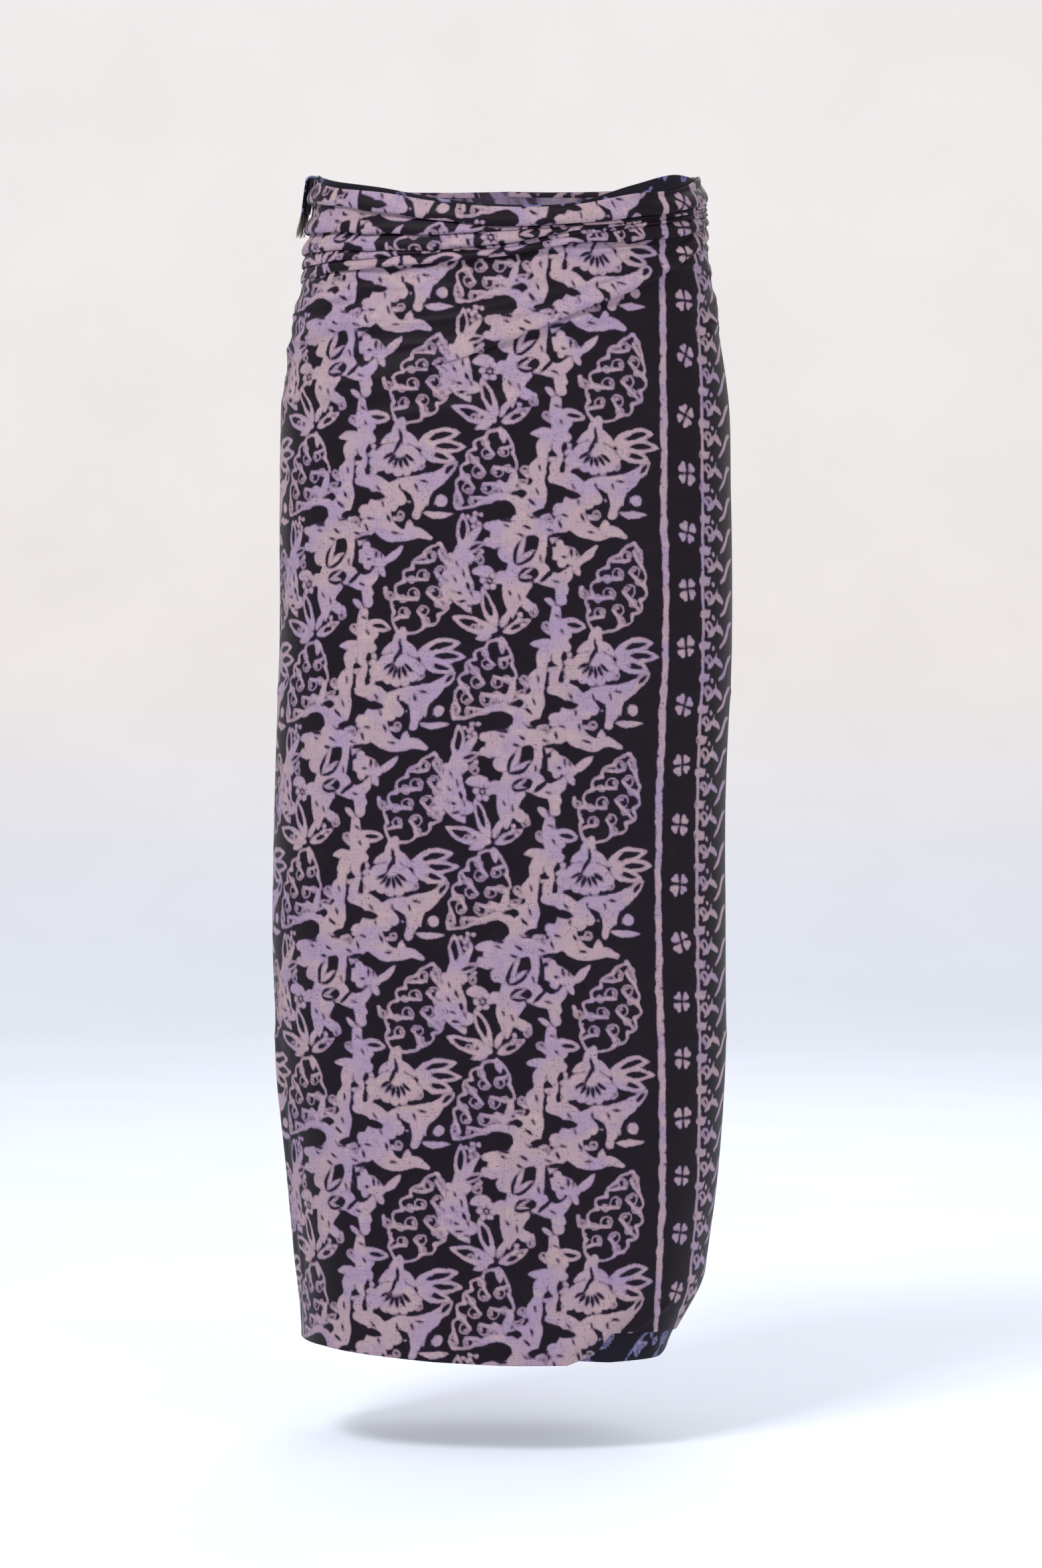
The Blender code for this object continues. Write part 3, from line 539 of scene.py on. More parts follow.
# Thin dark cuts: their middle, turn, length and width.
Cut = namedtuple("Cut", "x y turn length width")
CUTS = (
    Cut(14, 25, 60, 5, 1.7), Cut(21, 21, 76, 6, 1.6), Cut(12, 34, 40, 5, 2.2), Cut(24, 31, 66, 6, 2.3), Cut(18, 36, 20, 4, 1.8),
    Cut(20, 43, -4, 6, 2.0), Cut(26, 46, 4, 4, 1.2), Cut(16, 14, 70, 4, 1.3), Cut(27, 37, 70, 4, 1.4), Cut(9, 28, 70, 4, 1.2),
    Cut(86, 23, -42, 15, 3.0), Cut(104, 5, 86, 6, 1.8), Cut(108, 6, 80, 4, 1.2), Cut(99, 9, 10, 3, 1.8), Cut(94, 54, 30, 4, 1.4),
    Cut(88, 5, 84, 26, 3.2), Cut(94, -8, -8, 13, 3.0), Cut(112, 2, 40, 15, 4.0), Cut(100, 139, 12, 5, 1.6), Cut(110, 128, 80, 4, 1.4),
    Cut(72, 2, 70, 5, 1.5), Cut(76, 30, 60, 6, 1.6), Cut(57, 36, 60, 4, 1.4), Cut(81, 10, 80, 5, 1.4), Cut(66, -8, 20, 6, 1.8),
    Cut(106, 116, 50, 5, 1.4), Cut(114, 140, 70, 6, 1.8), Cut(120, 151, 10, 6, 1.6), Cut(137, 116, 70, 5, 1.6),
    Cut(143, 112, 10, 6, 1.6), Cut(97, 66, 60, 4, 1.5), Cut(80, 102, 80, 5, 1.6), Cut(78, 120, 70, 5, 1.6), Cut(70, 148, 30, 6, 1.7),
    Cut(54, 147, 20, 4, 1.4), Cut(96, 146, 70, 6, 1.8), Cut(88, 150, 20, 5, 1.5), Cut(60, 122, 10, 5, 1.3), Cut(92, 28, 20, 5, 1.4),
    Cut(74, 128, 40, 7, 2.0), Cut(56, 143, 4, 12, 1.8), Cut(144, 105, 14, 4, 1.4), Cut(64, 40, 74, 5, 1.4), Cut(124, 116, 80, 5, 1.6),
)
Berries = namedtuple("Berries", "x y count apart radius")
BERRIES = (
    Berries(30, 141, 7, 2.6, 2.0), Berries(64.5, 57, 4, 2.7, 2.1), Berries(103, 88, 4, 2.8, 2.2), Berries(26, 13.5, 1, 0, 1.0),
    Berries(104, 96, 1, 0, 4.8), Berries(156, 127, 1, 0, 4.6), Berries(131, 127, 1, 0, 1.2), Berries(118, 45, 1, 0, 1.2),
)
GOLDEN_TURN = 2.4
# Tendrils: where they leave a limb, their heading, the radius of their curl and the side it turns to.
Tendril = namedtuple("Tendril", "x y heading radius side")
TENDRILS = (
    Tendril(36, 5, 150, 3.4, -1), Tendril(76, 46, 60, 3.0, 1), Tendril(88, 96, -20, 3.0, 1), Tendril(72, 108, 200, 3.0, 1),
    Tendril(119, 140, 20, 3.2, -1), Tendril(108, 100, 200, 2.8, -1), Tendril(88, 66, 200, 3.0, 1), Tendril(50, 116, 170, 3.0, -1),
    Tendril(150, 86, 80, 3.0, 1), Tendril(34, 60, 100, 3.2, 1), Tendril(136, 98, 60, 3.0, -1), Tendril(10, 44, 130, 3.2, 1),
    Tendril(112, 32, 100, 3.0, -1), Tendril(82, 140, -30, 3.0, 1),
)
TENDRIL_STEM = 4.0
Rosette = namedtuple("Rosette", "x y radius petals")
ROSETTES = (Rosette(41, 27, 5.4, 6),)


def smooth_chain(chain):
    """The chain with spots added on a smooth curve through its own."""
    knots = np.array(chain, float)
    padded = np.vstack([2 * knots[0] - knots[1], knots, 2 * knots[-1] - knots[-2]])
    out = [knots[0]]
    for p0, p1, p2, p3 in zip(padded, padded[1:], padded[2:], padded[3:]):
        for step in range(1, CHAIN_STEPS + 1):
            t = step / CHAIN_STEPS
            out.append(0.5 * (2 * p1 + (p2 - p0) * t + (2 * p0 - 5 * p1 + 4 * p2 - p3) * t * t
                              + (3 * p1 - p0 - 3 * p2 + p3) * t ** 3))
    return out


def posed(x, y, turn, chain):
    """A chain along and across its motif, turned and set at the motif's root."""
    c, s = math.cos(math.radians(turn)), math.sin(math.radians(turn))
    return [(x + a * c - b * s, y + a * s + b * c, r) for a, b, r in chain]


def leaf_chain(length, width, bend=0.0, start=0.0, end=1.0, steps=12):
    """A pointed leaf, or the dark slit between two shares of its length."""
    chain = []
    for k in range(steps + 1):
        share = k / steps
        t = start + (end - start) * share
        chain.append((length * t, bend * length * t * t, 0.35 + (width / 2 - 0.35) * math.sin(math.pi * share ** 0.9) ** 0.8))
    return chain


def curl_chain(x, y, heading, radius, side, turns=1.12, thick=1.0, steps=18):
    """A line that sets off along its heading and winds inward to a knob."""
    middle = math.radians(heading + 90 * side)
    cx, cy = x + radius * math.cos(middle), y + radius * math.sin(middle)
    chain = []
    for k in range(steps + 1):
        t = k / steps
        angle = middle + math.pi + side * t * turns * 2 * math.pi
        reach = radius * (1 - 0.62 * ease((t - 0.40) / 0.60))
        chain.append((cx + reach * math.cos(angle), cy + reach * math.sin(angle), thick + 0.45 * ease((t - 0.75) / 0.25)))
    return chain


class Stamp:
    """A chart that repeats down the cloth: at each cell, how far inside a light shape it lies."""

    def __init__(self, left, right, repeat):
        self.left = left
        self.repeat = repeat
        self.depth = np.full((round(repeat / CELL), round((right - left) / CELL)), -REACH)

    def spots(self, chain, dark=False):
        """Draws a chain of spots joined by straight strokes, light or dark."""
        rows, cols = self.depth.shape
        for (ax, ay, ar), (bx, by, br) in zip(chain, chain[1:]):
            pad = max(ar, br) + REACH
            c0 = max(int((min(ax, bx) - pad - self.left) / CELL), 0)
            c1 = min(int((max(ax, bx) + pad - self.left) / CELL) + 1, cols)
            r = np.arange(int((min(ay, by) - pad) / CELL), int((max(ay, by) + pad) / CELL) + 1)
            if c1 <= c0:
                continue
            x = (self.left + (np.arange(c0, c1) + 0.5) * CELL)[None, :]
            y = ((r + 0.5) * CELL)[:, None]
            span = max((bx - ax) ** 2 + (by - ay) ** 2, 1e-9)
            t = np.clip(((x - ax) * (bx - ax) + (y - ay) * (by - ay)) / span, 0, 1)
            inside = ar + (br - ar) * t - np.hypot(x - ax - t * (bx - ax), y - ay - t * (by - ay))
            window = np.ix_(r % rows, np.arange(c0, c1))
            if dark:
                self.depth[window] = np.minimum(self.depth[window], -inside)
            else:
                self.depth[window] = np.maximum(self.depth[window], inside)

    def dot(self, x, y, radius, dark=False):
        """Draws one round spot."""
        self.spots(((x, y, radius), (x + 0.2, y, radius)), dark)

    def leaf(self, leaf):
        """Draws a leaf, with a dark slit if it has one."""
        self.spots(posed(leaf.x, leaf.y, leaf.turn, leaf_chain(leaf.length, leaf.width, leaf.bend)))
        if leaf.slit:
            slit = leaf_chain(leaf.length, leaf.width * leaf.slit, leaf.bend, 0.30, 0.82)
            self.spots(posed(leaf.x, leaf.y, leaf.turn, slit), dark=True)

    def body(self, body):
        """Draws a thick limb and the lobes that stand out from it."""
        spine = [(x, y, BODY_FULL * radius) for x, y, radius in smooth_chain(body.spine)]
        self.spots(spine)
        for x, y, radius in body.lobes:
            near = min(spine, key=lambda spot: math.hypot(spot[0] - x, spot[1] - y) - spot[2])
            self.spots(((x, y, BODY_FULL * radius), (near[0], near[1], 0.8 * min(radius, near[2]))))

    def wing(self, wing):
        """Draws a wing: two scalloped lines from its root to its tip, and curls between them."""
        def across(t, share):
            full = wing.half_width * math.sin(math.pi * min(t, 1.0) ** 0.85) ** 0.75
            return wing.bend * wing.length * math.sin(math.pi * t) + share * full

        def edge(t, side):
            scallop = 0.86 + 0.22 * abs(math.sin(math.pi * WING_SCALLOPS * t))
            return (wing.length * t, across(t, side * scallop), 1.3 + 0.5 * abs(math.cos(math.pi * WING_SCALLOPS * t)) ** 6)

        for side in (-1, 1):
            self.spots(posed(wing.x, wing.y, wing.turn, [edge(k / WING_STEPS, side) for k in range(WING_STEPS + 1)]))
            for t in WING_CURLS[int(side > 0)::2]:
                size = wing.half_width * math.sin(math.pi * t ** 0.85) ** 0.75
                x, y, _ = edge(t - 0.07, side)
                fork = (wing.length * (t - 0.01), across(t - 0.01, 0.50 * side), 1.7)
                knee = (wing.length * (t + 0.035), across(t + 0.035, 0.10 * side), 1.5)
                self.spots(posed(wing.x, wing.y, wing.turn, smooth_chain(((x, y, 1.2), fork, knee))))
                coil = curl_chain(*knee[:2], -20 * side, 0.12 * size + 2.3, side, turns=1.25, thick=0.9)
                self.spots(posed(wing.x, wing.y, wing.turn, coil))
                if size > WING_FORKS_FROM:
                    back = curl_chain(*fork[:2], 200 * side, 0.04 * size + 2.1, -side)
                    self.spots(posed(wing.x, wing.y, wing.turn, back))

    def fan(self, fan):
        """Draws a fan flower: a trunk, two pairs of side leaves, and petals that end in a scalloped rim."""
        size = fan.size

        def put(chain, dark=False):
            self.spots(posed(fan.x, fan.y, fan.turn, chain), dark)

        put(smooth_chain(((0, 0, 3), (0.18 * size, 2, 6), (0.40 * size, 0, 6), (0.62 * size, -1, 7))))
        for side in (-1, 1):
            put(posed(0.20 * size, 0, 62 * side, leaf_chain(0.42 * size, 7.5, -0.15 * side)))
            put(posed(0.46 * size, 0, 84 * side, leaf_chain(0.40 * size, 6.5, -0.2 * side)))
        petals = [FAN_SPREAD * (k / (FAN_PETALS - 1) - 0.5) for k in range(FAN_PETALS)]
        for turn in petals:
            c, s = math.cos(math.radians(turn)), math.sin(math.radians(turn))
            root, tip = (0.52 * size, 0, 4), (0.52 * size + 0.38 * size * c, 0.42 * size * s, 4.4)
            put((root, tip))
        for turn in petals[:-1]:
            turn += FAN_SPREAD / (FAN_PETALS - 1) / 2
            put(posed(0.52 * size, 0, turn, leaf_chain(0.34 * size, 2.5, 0, 0.42, 1.0)), dark=True)
        put(posed(0.30 * size, -1, 28, leaf_chain(0.36 * size, 2.6, -0.1)), dark=True)
        put(posed(0.16 * size, 2, -16, leaf_chain(0.26 * size, 2.2)), dark=True)

    def soften(self):
        """Rounds the inner corners off, as wax does."""
        d = self.depth
        side = np.concatenate([d[:, :1], d, d[:, -1:]], axis=1)
        d = (side[:, :-2] + 2 * side[:, 1:-1] + side[:, 2:]) / 4
        self.depth = (np.roll(d, 1, axis=0) + 2 * d + np.roll(d, -1, axis=0)) / 4

    def sample(self, x, y):
        """How far inside a light shape each point of the cloth lies."""
        rows, cols = self.depth.shape
        c = (np.asarray(x) - self.left) / CELL - 0.5
        r = np.asarray(y) / CELL - 0.5
        off = (c < 0) | (c > cols - 2)
        c = np.clip(c, 0, cols - 1.001)
        c0, r0 = np.floor(c).astype(int), np.floor(r).astype(int)
        fc, fr = c - c0, r - r0
        d = self.depth
        top = d[r0 % rows, c0] * (1 - fc) + d[r0 % rows, c0 + 1] * fc
        low = d[(r0 + 1) % rows, c0] * (1 - fc) + d[(r0 + 1) % rows, c0 + 1] * fc
        return np.where(off, -REACH, top * (1 - fr) + low * fr)


def main_stamp():
    """The stamp of the field."""
    stamp = Stamp(-CHART_OVERHANG, CHART_WIDE + CHART_OVERHANG, CHART_HIGH)
    for body in BODIES:
        stamp.body(body)
    for cut_mark in CUTS:
        chain = leaf_chain(cut_mark.length, cut_mark.width)
        along = math.radians(cut_mark.turn)
        x = cut_mark.x - math.cos(along) * cut_mark.length / 2
        y = cut_mark.y - math.sin(along) * cut_mark.length / 2
        stamp.spots(posed(x, y, cut_mark.turn, chain), dark=True)
    for pocket in POCKETS:
        stamp.spots(posed(pocket.x, pocket.y, pocket.turn, leaf_chain(pocket.length, pocket.width)), dark=True)
        if pocket.inner:
            for side in (-1, 1):
                petal = leaf_chain(pocket.length * (0.82 - 0.12 * side), pocket.width * pocket.inner * 0.58, 0.05 * side)
                stamp.spots(posed(pocket.x, pocket.y, pocket.turn + 15 * side, petal))
    for fan in FANS:
        stamp.fan(fan)
    for leaf in LEAVES:
        stamp.leaf(leaf)
    for tendril in TENDRILS:
        along = math.radians(tendril.heading)
        x, y = tendril.x + TENDRIL_STEM * math.cos(along), tendril.y + TENDRIL_STEM * math.sin(along)
        stamp.spots(((tendril.x, tendril.y, 2.0), (x, y, 1.1)))
        stamp.spots(curl_chain(x, y, tendril.heading, tendril.radius, tendril.side))
    for wing in WINGS:
        stamp.wing(wing)
    for group in BERRIES:
        for k in range(group.count):
            away, angle = group.apart * math.sqrt(k), GOLDEN_TURN * k
            stamp.dot(group.x + away * math.cos(angle), group.y + away * math.sin(angle), group.radius)
    for rosette in ROSETTES:
        for k in range(rosette.petals):
            angle = 2 * math.pi * k / rosette.petals
            stamp.dot(rosette.x + rosette.radius * math.cos(angle), rosette.y + rosette.radius * math.sin(angle), 0.5 * rosette.radius)
            between = angle + math.pi / rosette.petals
            stamp.dot(rosette.x + 2.4 * math.cos(between), rosette.y + 2.4 * math.sin(between), 0.7, dark=True)
        stamp.dot(rosette.x, rosette.y, 1.5)
    stamp.soften()
    return stamp


# The border along the cloth's outer end, in millimetres of cloth from the front's middle and down.
BORDER_LEFT, BORDER_RIGHT, BORDER_LONG = 112, 290, 1200
STRIPE_AT, STRIPE_HALF = 127.5, 3.2
STAMP_LONG = 163        # length of one stamp of the border
CLOVER_AT, CLOVER_EVERY = 148.0, 46.0
LINE_AT = 165.5
SCROLL_EVERY = 25.0


def heart(stamp, x, y, turn, size):
    """A heart whose point is at x, y."""
    along, side = np.array([math.cos(turn), math.sin(turn)]), np.array([-math.sin(turn), math.cos(turn)])
    root = np.array([x, y])
    for lobe in (-1, 0, 1):
        top = root + ((5.9 - 0.5 * (lobe == 0)) * along + lobe * 2.1 * side) * size
        stamp.spots(((*(root + 0.8 * along), 0.8), (*top, 2.5 * size)))


def border_stamp():
    """The border of the outer end: a stripe, clovers, a line, running scrolls and slanted fingers."""
    stamp = Stamp(BORDER_LEFT, BORDER_RIGHT, BORDER_LONG)
    rng = np.random.default_rng(7)
    stripe = []
    shift = 0.0
    for y in np.arange(0, BORDER_LONG, 6.0):
        if y % STAMP_LONG < 6:
            shift = rng.uniform(-1.2, 1.2)
        stripe.append((STRIPE_AT + shift + rng.uniform(-0.4, 0.4), y, STRIPE_HALF + rng.uniform(-0.5, 0.5)))
    stamp.spots(stripe)
    for y in np.arange(3, BORDER_LONG, 13.0):
        side = rng.choice((-1, 1))
        x = STRIPE_AT + side * (STRIPE_HALF + rng.uniform(-0.2, 0.9))
        at = y + rng.uniform(-4, 4)
        stamp.spots(((x, at, 0.7), (x - side * rng.uniform(0.2, 1.6), at + 0.6, 0.5)), dark=True)
    for y in np.arange(20, BORDER_LONG, CLOVER_EVERY):
        turn = rng.uniform(-0.45, 0.45) + math.pi / 4
        x, at = CLOVER_AT + rng.uniform(-1, 1), y + rng.uniform(-1.5, 1.5)
        for quarter in range(4):
            angle = turn + quarter * math.pi / 2
            heart(stamp, x + 1.3 * math.cos(angle), at + 1.3 * math.sin(angle), angle, rng.uniform(0.84, 1.04))
    stamp.spots([(LINE_AT + rng.uniform(-0.4, 0.4), y, 1.9) for y in np.arange(0, BORDER_LONG, 7.0)])
    for y in np.arange(0, BORDER_LONG, SCROLL_EVERY):
        top = y + rng.uniform(-0.8, 0.8)
        wide = rng.uniform(0.9, 1.1)
        stamp.spots(((LINE_AT, top + 19, 4.0), (LINE_AT + 6 * wide, top + 19.5, 3.2)))
        stamp.spots(((LINE_AT + 5 * wide, top + 19.5, 3.0), (LINE_AT + 9.5, top + 16.5, 0.9)))
        stamp.dot(LINE_AT + 13, top + 21.5, 2.2)
        stamp.spots(curl_chain(LINE_AT + 3.0, top + 5.5, -90, 4.2 * wide, 1, 1.0, 1.4))
        stamp.spots(smooth_chain((
            (LINE_AT + 7, top + 11.5, 1.5), (LINE_AT + 12, top + 9, 2.4), (LINE_AT + 16, top + 5, 2.2),
            (LINE_AT + 22, top + 6, 3.0), (LINE_AT + 28, top + 9, 2.0),
        )))
        stamp.spots(((LINE_AT + 17, top + 5, 2.0), (LINE_AT + 19, top - 1.5, 0.8)))
        stamp.spots(smooth_chain((
            (LINE_AT + 24, top + 20, 1.4), (LINE_AT + 33, top + 14, 2.6), (LINE_AT + 42, top + 4, 2.8), (LINE_AT + 54, top, 1.2),
        )))
        stamp.dot(LINE_AT - 1.8, top + rng.uniform(3, 23), 0.7, dark=True)
    stamp.soften()
    return stamp


# Sprays of leaves on the other end of the cloth, which the inner turn shows, in millimetres.
SPRAY_WIDE, SPRAY_HIGH = 64, 72
SPRAY_STEM = ((6, 70, 1.1), (16, 58, 1.2), (24, 44, 1.3), (34, 33, 1.3), (44, 18, 1.2), (58, 6, 1.0))
SPRAY_LEAVES = (
    (16, 58, 1.9, 15), (22, 47, -0.4, 15), (28, 40, 1.7, 14), (34, 33, -0.6, 15), (39, 26, 1.6, 13),
    (44, 18, -0.8, 13), (51, 12, 1.4, 11), (10, 65, -0.2, 13),
    (42, 62, 2.6, 13), (47, 57, 0.1, 13), (52, 50, 2.4, 12), (56, 44, -0.3, 12), (59, 37, 2.2, 10), (61, 33, 0.6, 9),
)
SPRAY_TWIG = ((36, 68, 1.0), (45, 59, 1.2), (54, 47, 1.2), (61, 33, 0.9))
SPRAY_FLOWERS = ((16, 22, 4.2, 5, 0.4), (44, 42, 2.6, 5, 1.1))      # place, how far the petals lie out, how many, turn


def spray_stamp():
    """Leaf sprays that repeat both ways."""
    stamp = Stamp(-CHART_OVERHANG, SPRAY_WIDE + CHART_OVERHANG, SPRAY_HIGH)
    stamp.spots(smooth_chain(SPRAY_STEM))
    stamp.spots(smooth_chain(SPRAY_TWIG))
    for x, y, reach, petals, turn in SPRAY_FLOWERS:
        for k in range(petals):
            angle = turn + 2 * math.pi * k / petals
            stamp.dot(x + reach * math.cos(angle), y + reach * math.sin(angle), 0.62 * reach)
        stamp.dot(x, y, 0.3 * reach, dark=True)
    for x, y, turn, length in SPRAY_LEAVES:
        along = np.array([math.cos(turn), math.sin(turn)])
        tip = np.array([x, y]) + along * length
        middle = (np.array([x, y]) + tip) / 2
        stamp.spots(smooth_chain(((x, y, 0.8), (*middle, 3.2), (*tip, 0.5))))
        stamp.spots(smooth_chain(((*(middle - along * 3), 0.4), (*middle, 0.7), (*(middle + along * 3), 0.4))), dark=True)
    stamp.soften()
    return stamp


MAIN = main_stamp()
BORDER = border_stamp()
SPRAY = spray_stamp()

# Where the field's stamps lie on the cloth, in metres: the first ends at the border.
FIELD_FROM = -0.054
FIELD_WIDE = 0.1525
FIELD_TOP = 0.2935
FIELD_HIGH = 0.163
BLEED_STRAY = 0.0008        # how far the hand waxing strays from the chart


def tiled(stamp, x, y, wide, last=None):
    """The stamp repeated across, stamps overlapping where their motifs reach over."""
    best = np.full(np.shape(x), -REACH)
    home = np.floor(x / wide)
    for step in (-1, 0, 1):
        k = home + step
        depth = stamp.sample(x - wide * k, y)
        if last is not None:
            depth = np.where(k <= last, depth, -REACH)
        best = np.maximum(best, depth)
    return best


def stray(u, v):
    """The cloth coordinates, shaken a little as hand work is."""
    shift = [
        BLEED_STRAY * mottle(u / 0.009, v / 0.009, seed) + 0.4 * BLEED_STRAY * mottle(u / 0.0032, v / 0.0032, seed + 1)
        for seed in (11, 13)
    ]
    return u + shift[0], v + shift[1]


def print_depth(grid):
    """How far inside the wax's marks each point of the outer turn and the back lies, in millimetres."""
    u, v = stray(round_length(grid), grid.down)
    x = (u - FIELD_FROM) / FIELD_WIDE * CHART_WIDE
    y = (v - FIELD_TOP) / FIELD_HIGH * CHART_HIGH
    field = tiled(MAIN, x, y + 0.8 * np.sin(np.floor(x / CHART_WIDE) * 2.4), CHART_WIDE, last=0)
    border = BORDER.sample(u / MM, v / MM + 200)
    return np.maximum(field, border)


def inner_print_depth(grid):
    """The same for the inner turn, whose end carries sprays."""
    u, v = stray(round_length(Grid(grid.sigma - 2, *grid[1:])), grid.down)
    x = (u - FIELD_FROM) / FIELD_WIDE * CHART_WIDE
    y = (v - FIELD_TOP) / FIELD_HIGH * CHART_HIGH
    return tiled(SPRAY, x * 0.965, y, SPRAY_WIDE)


def linear(red, green, blue):
    """A screen colour, 0 to 255, as the renderer's own linear colour."""
    return (*[c / 12.92 if c < 0.04045 else ((c + 0.055) / 1.055) ** 2.4 for c in (red / 255, green / 255, blue / 255)], 1)


class Nodes:
    """A material and short calls that fill its node tree."""

    def __init__(self, name):
        self.material = bpy.data.materials.new(name)
        self.material.use_nodes = True
        self.tree = self.material.node_tree
        self.shader = self.tree.nodes["Principled BSDF"]

    def feed(self, socket, value):
        if isinstance(value, bpy.types.NodeSocket):
            self.tree.links.new(value, socket)
        else:
            socket.default_value = value

    def add(self, kind, inputs=None, **settings):
        node = self.tree.nodes.new(kind)
        for key, value in settings.items():
            setattr(node, key, value)
        for key, value in (inputs or {}).items():
            self.feed(node.inputs[key], value)
        return node

    def math(self, operation, *values):
        node = self.add("ShaderNodeMath", operation=operation)
        for socket, value in zip(node.inputs, values):
            self.feed(socket, value)
        return node.outputs[0]

    def mix(self, share, first, second, blend="MIX"):
        node = self.add("ShaderNodeMix", data_type="RGBA", blend_type=blend)
        for key, value in ((0, share), (6, first), (7, second)):
            self.feed(node.inputs[key], value)
        return node.outputs[2]

    def step(self, value, low, high, to_low=0.0, to_high=1.0):
        node = self.add("ShaderNodeMapRange", interpolation_type="SMOOTHSTEP")
        for key, given in ((0, value), (1, low), (2, high), (3, to_low), (4, to_high)):
            self.feed(node.inputs[key], given)
        return node.outputs[0]

    def scaled(self, vector, by):
        node = self.add("ShaderNodeVectorMath", operation="MULTIPLY")
        self.feed(node.inputs[0], vector)
        self.feed(node.inputs[1], by)
        return node.outputs[0]

    def noise(self, vector, size, detail=2.0, roughness=0.5):
        """Noise with bumps of about a size, in millimetres where the vector is in millimetres."""
        node = self.add("ShaderNodeTexNoise", {"Vector": vector, "Scale": 1 / size, "Detail": detail, "Roughness": roughness})
        return node.outputs["Fac"]

    def set(self, **values):
        for key, value in values.items():
            self.feed(self.shader.inputs[key.replace("_", " ")], value)


def weave(nodes, cloth):
    """The plain weave, its slubs and the crumple of the cloth: a shade and a bump height in millimetres."""
    parts = nodes.add("ShaderNodeSeparateXYZ", {"Vector": cloth})
    warp = nodes.math("SINE", nodes.math("MULTIPLY", parts.outputs[0], 2 * math.pi / THREAD))
    weft = nodes.math("SINE", nodes.math("MULTIPLY", parts.outputs[1], 2 * math.pi / THREAD))
    crossing = nodes.math("MULTIPLY", warp, weft)
    slub_up = nodes.noise(nodes.scaled(cloth, (1, 0.04, 1)), 0.7, 1.0)
    slub_across = nodes.noise(nodes.scaled(cloth, (0.04, 1, 1)), 0.7, 1.0)
    slubs = nodes.math("ADD", slub_up, slub_across)
    crumple = nodes.noise(cloth, 7, 3.0, 0.6)
    height = nodes.math("ADD", nodes.math("MULTIPLY", crossing, 0.03), nodes.math("MULTIPLY", slubs, 0.06))
    height = nodes.math("ADD", height, nodes.math("MULTIPLY", crumple, 0.35))
    return slubs, crossing, height


THREAD = 0.42           # from one thread to the next but one, in millimetres
GROUND = linear(20, 10, 21)
GROUND_WARM = linear(30, 16, 27)
MOTIF_TAUPE = linear(172, 148, 154)
MOTIF_LILAC = linear(160, 139, 166)
MOTIF_WARM = linear(182, 158, 156)
OUTLINE = linear(112, 90, 110)
BLEED = linear(46, 34, 72)
PIT = linear(74, 58, 78)


def printed_cloth(name, ground, tones, outline, bleed, fade=0.0):
    """Wax-resist printed cotton: dyed ground, waxed motifs with dye bled under their edges."""
    n = Nodes(name)
    uv = n.add("ShaderNodeUVMap", uv_map="Cloth").outputs[0]
    cloth = n.scaled(uv, (1000, 1000, 1000))
    slubs, crossing, height = weave(n, cloth)
    depth = n.add("ShaderNodeAttribute", attribute_name="wax").outputs["Fac"]
    ragged = n.math("SUBTRACT", n.noise(cloth, 2.2, 3.0, 0.65), 0.5)
    depth = n.math("ADD", depth, n.math("MULTIPLY", ragged, 1.3))
    light = n.step(depth, -0.28, 0.28)

    broad = n.noise(cloth, 46, 3.0, 0.55)
    blotch = n.noise(n.scaled(cloth, (1, 1.3, 1)), 17, 3.0, 0.6)
    motif = n.mix(n.step(broad, 0.40, 0.62), tones[0], tones[1])
    motif = n.mix(n.step(blotch, 0.52, 0.72, 0.0, 0.8), motif, tones[2])
    pits = n.step(n.noise(cloth, 1.9, 2.0, 0.7), 0.60, 0.66)
    patchy = n.step(n.noise(cloth, 12, 2.0), 0.42, 0.58)
    motif = n.mix(n.math("MULTIPLY", n.math("MULTIPLY", pits, patchy), 0.9), motif, PIT)
    crackle = n.add("ShaderNodeTexVoronoi", {"Vector": cloth, "Scale": 1 / 13}, feature="DISTANCE_TO_EDGE").outputs[0]
    veins = n.math("MULTIPLY", n.step(crackle, 0.0, 0.022, 1.0, 0.0), n.step(broad, 0.42, 0.58, 0.0, 0.35))
    motif = n.mix(veins, motif, outline)
    near_edge = n.step(depth, 0.15, 1.3, 0.72, 0.0)
    motif = n.mix(near_edge, motif, outline)

    dye = n.mix(n.step(blotch, 0.45, 0.7, 0.0, 0.5), ground, GROUND_WARM)
    seeped = n.step(depth, -1.3, -0.1, 0.0, 0.5)
    dye = n.mix(n.math("MULTIPLY", seeped, n.step(broad, 0.35, 0.6, 0.35, 1.0)), dye, bleed)

    colour = n.mix(light, dye, motif)
    colour = n.mix(fade, colour, tones[0])
    thread = n.step(n.math("ADD", slubs, n.math("MULTIPLY", crossing, 0.15)), 0.6, 1.4, 0.86, 1.10)
    shade = n.add("ShaderNodeCombineColor", {0: thread, 1: thread, 2: thread}).outputs[0]
    colour = n.mix(1.0, colour, shade, blend="MULTIPLY")
    rough = n.math("ADD", n.step(light, 0.0, 1.0, 0.50, 0.60), n.math("MULTIPLY", n.math("SUBTRACT", slubs, 1.0), 0.12))
    bump = n.add("ShaderNodeBump", {"Height": height, "Distance": MM, "Strength": 0.6}).outputs[0]
    n.set(Base_Color=colour, Roughness=rough, Normal=bump, Sheen_Weight=0.03, Sheen_Roughness=0.45,
          Specular_IOR_Level=0.13)
    return n.material


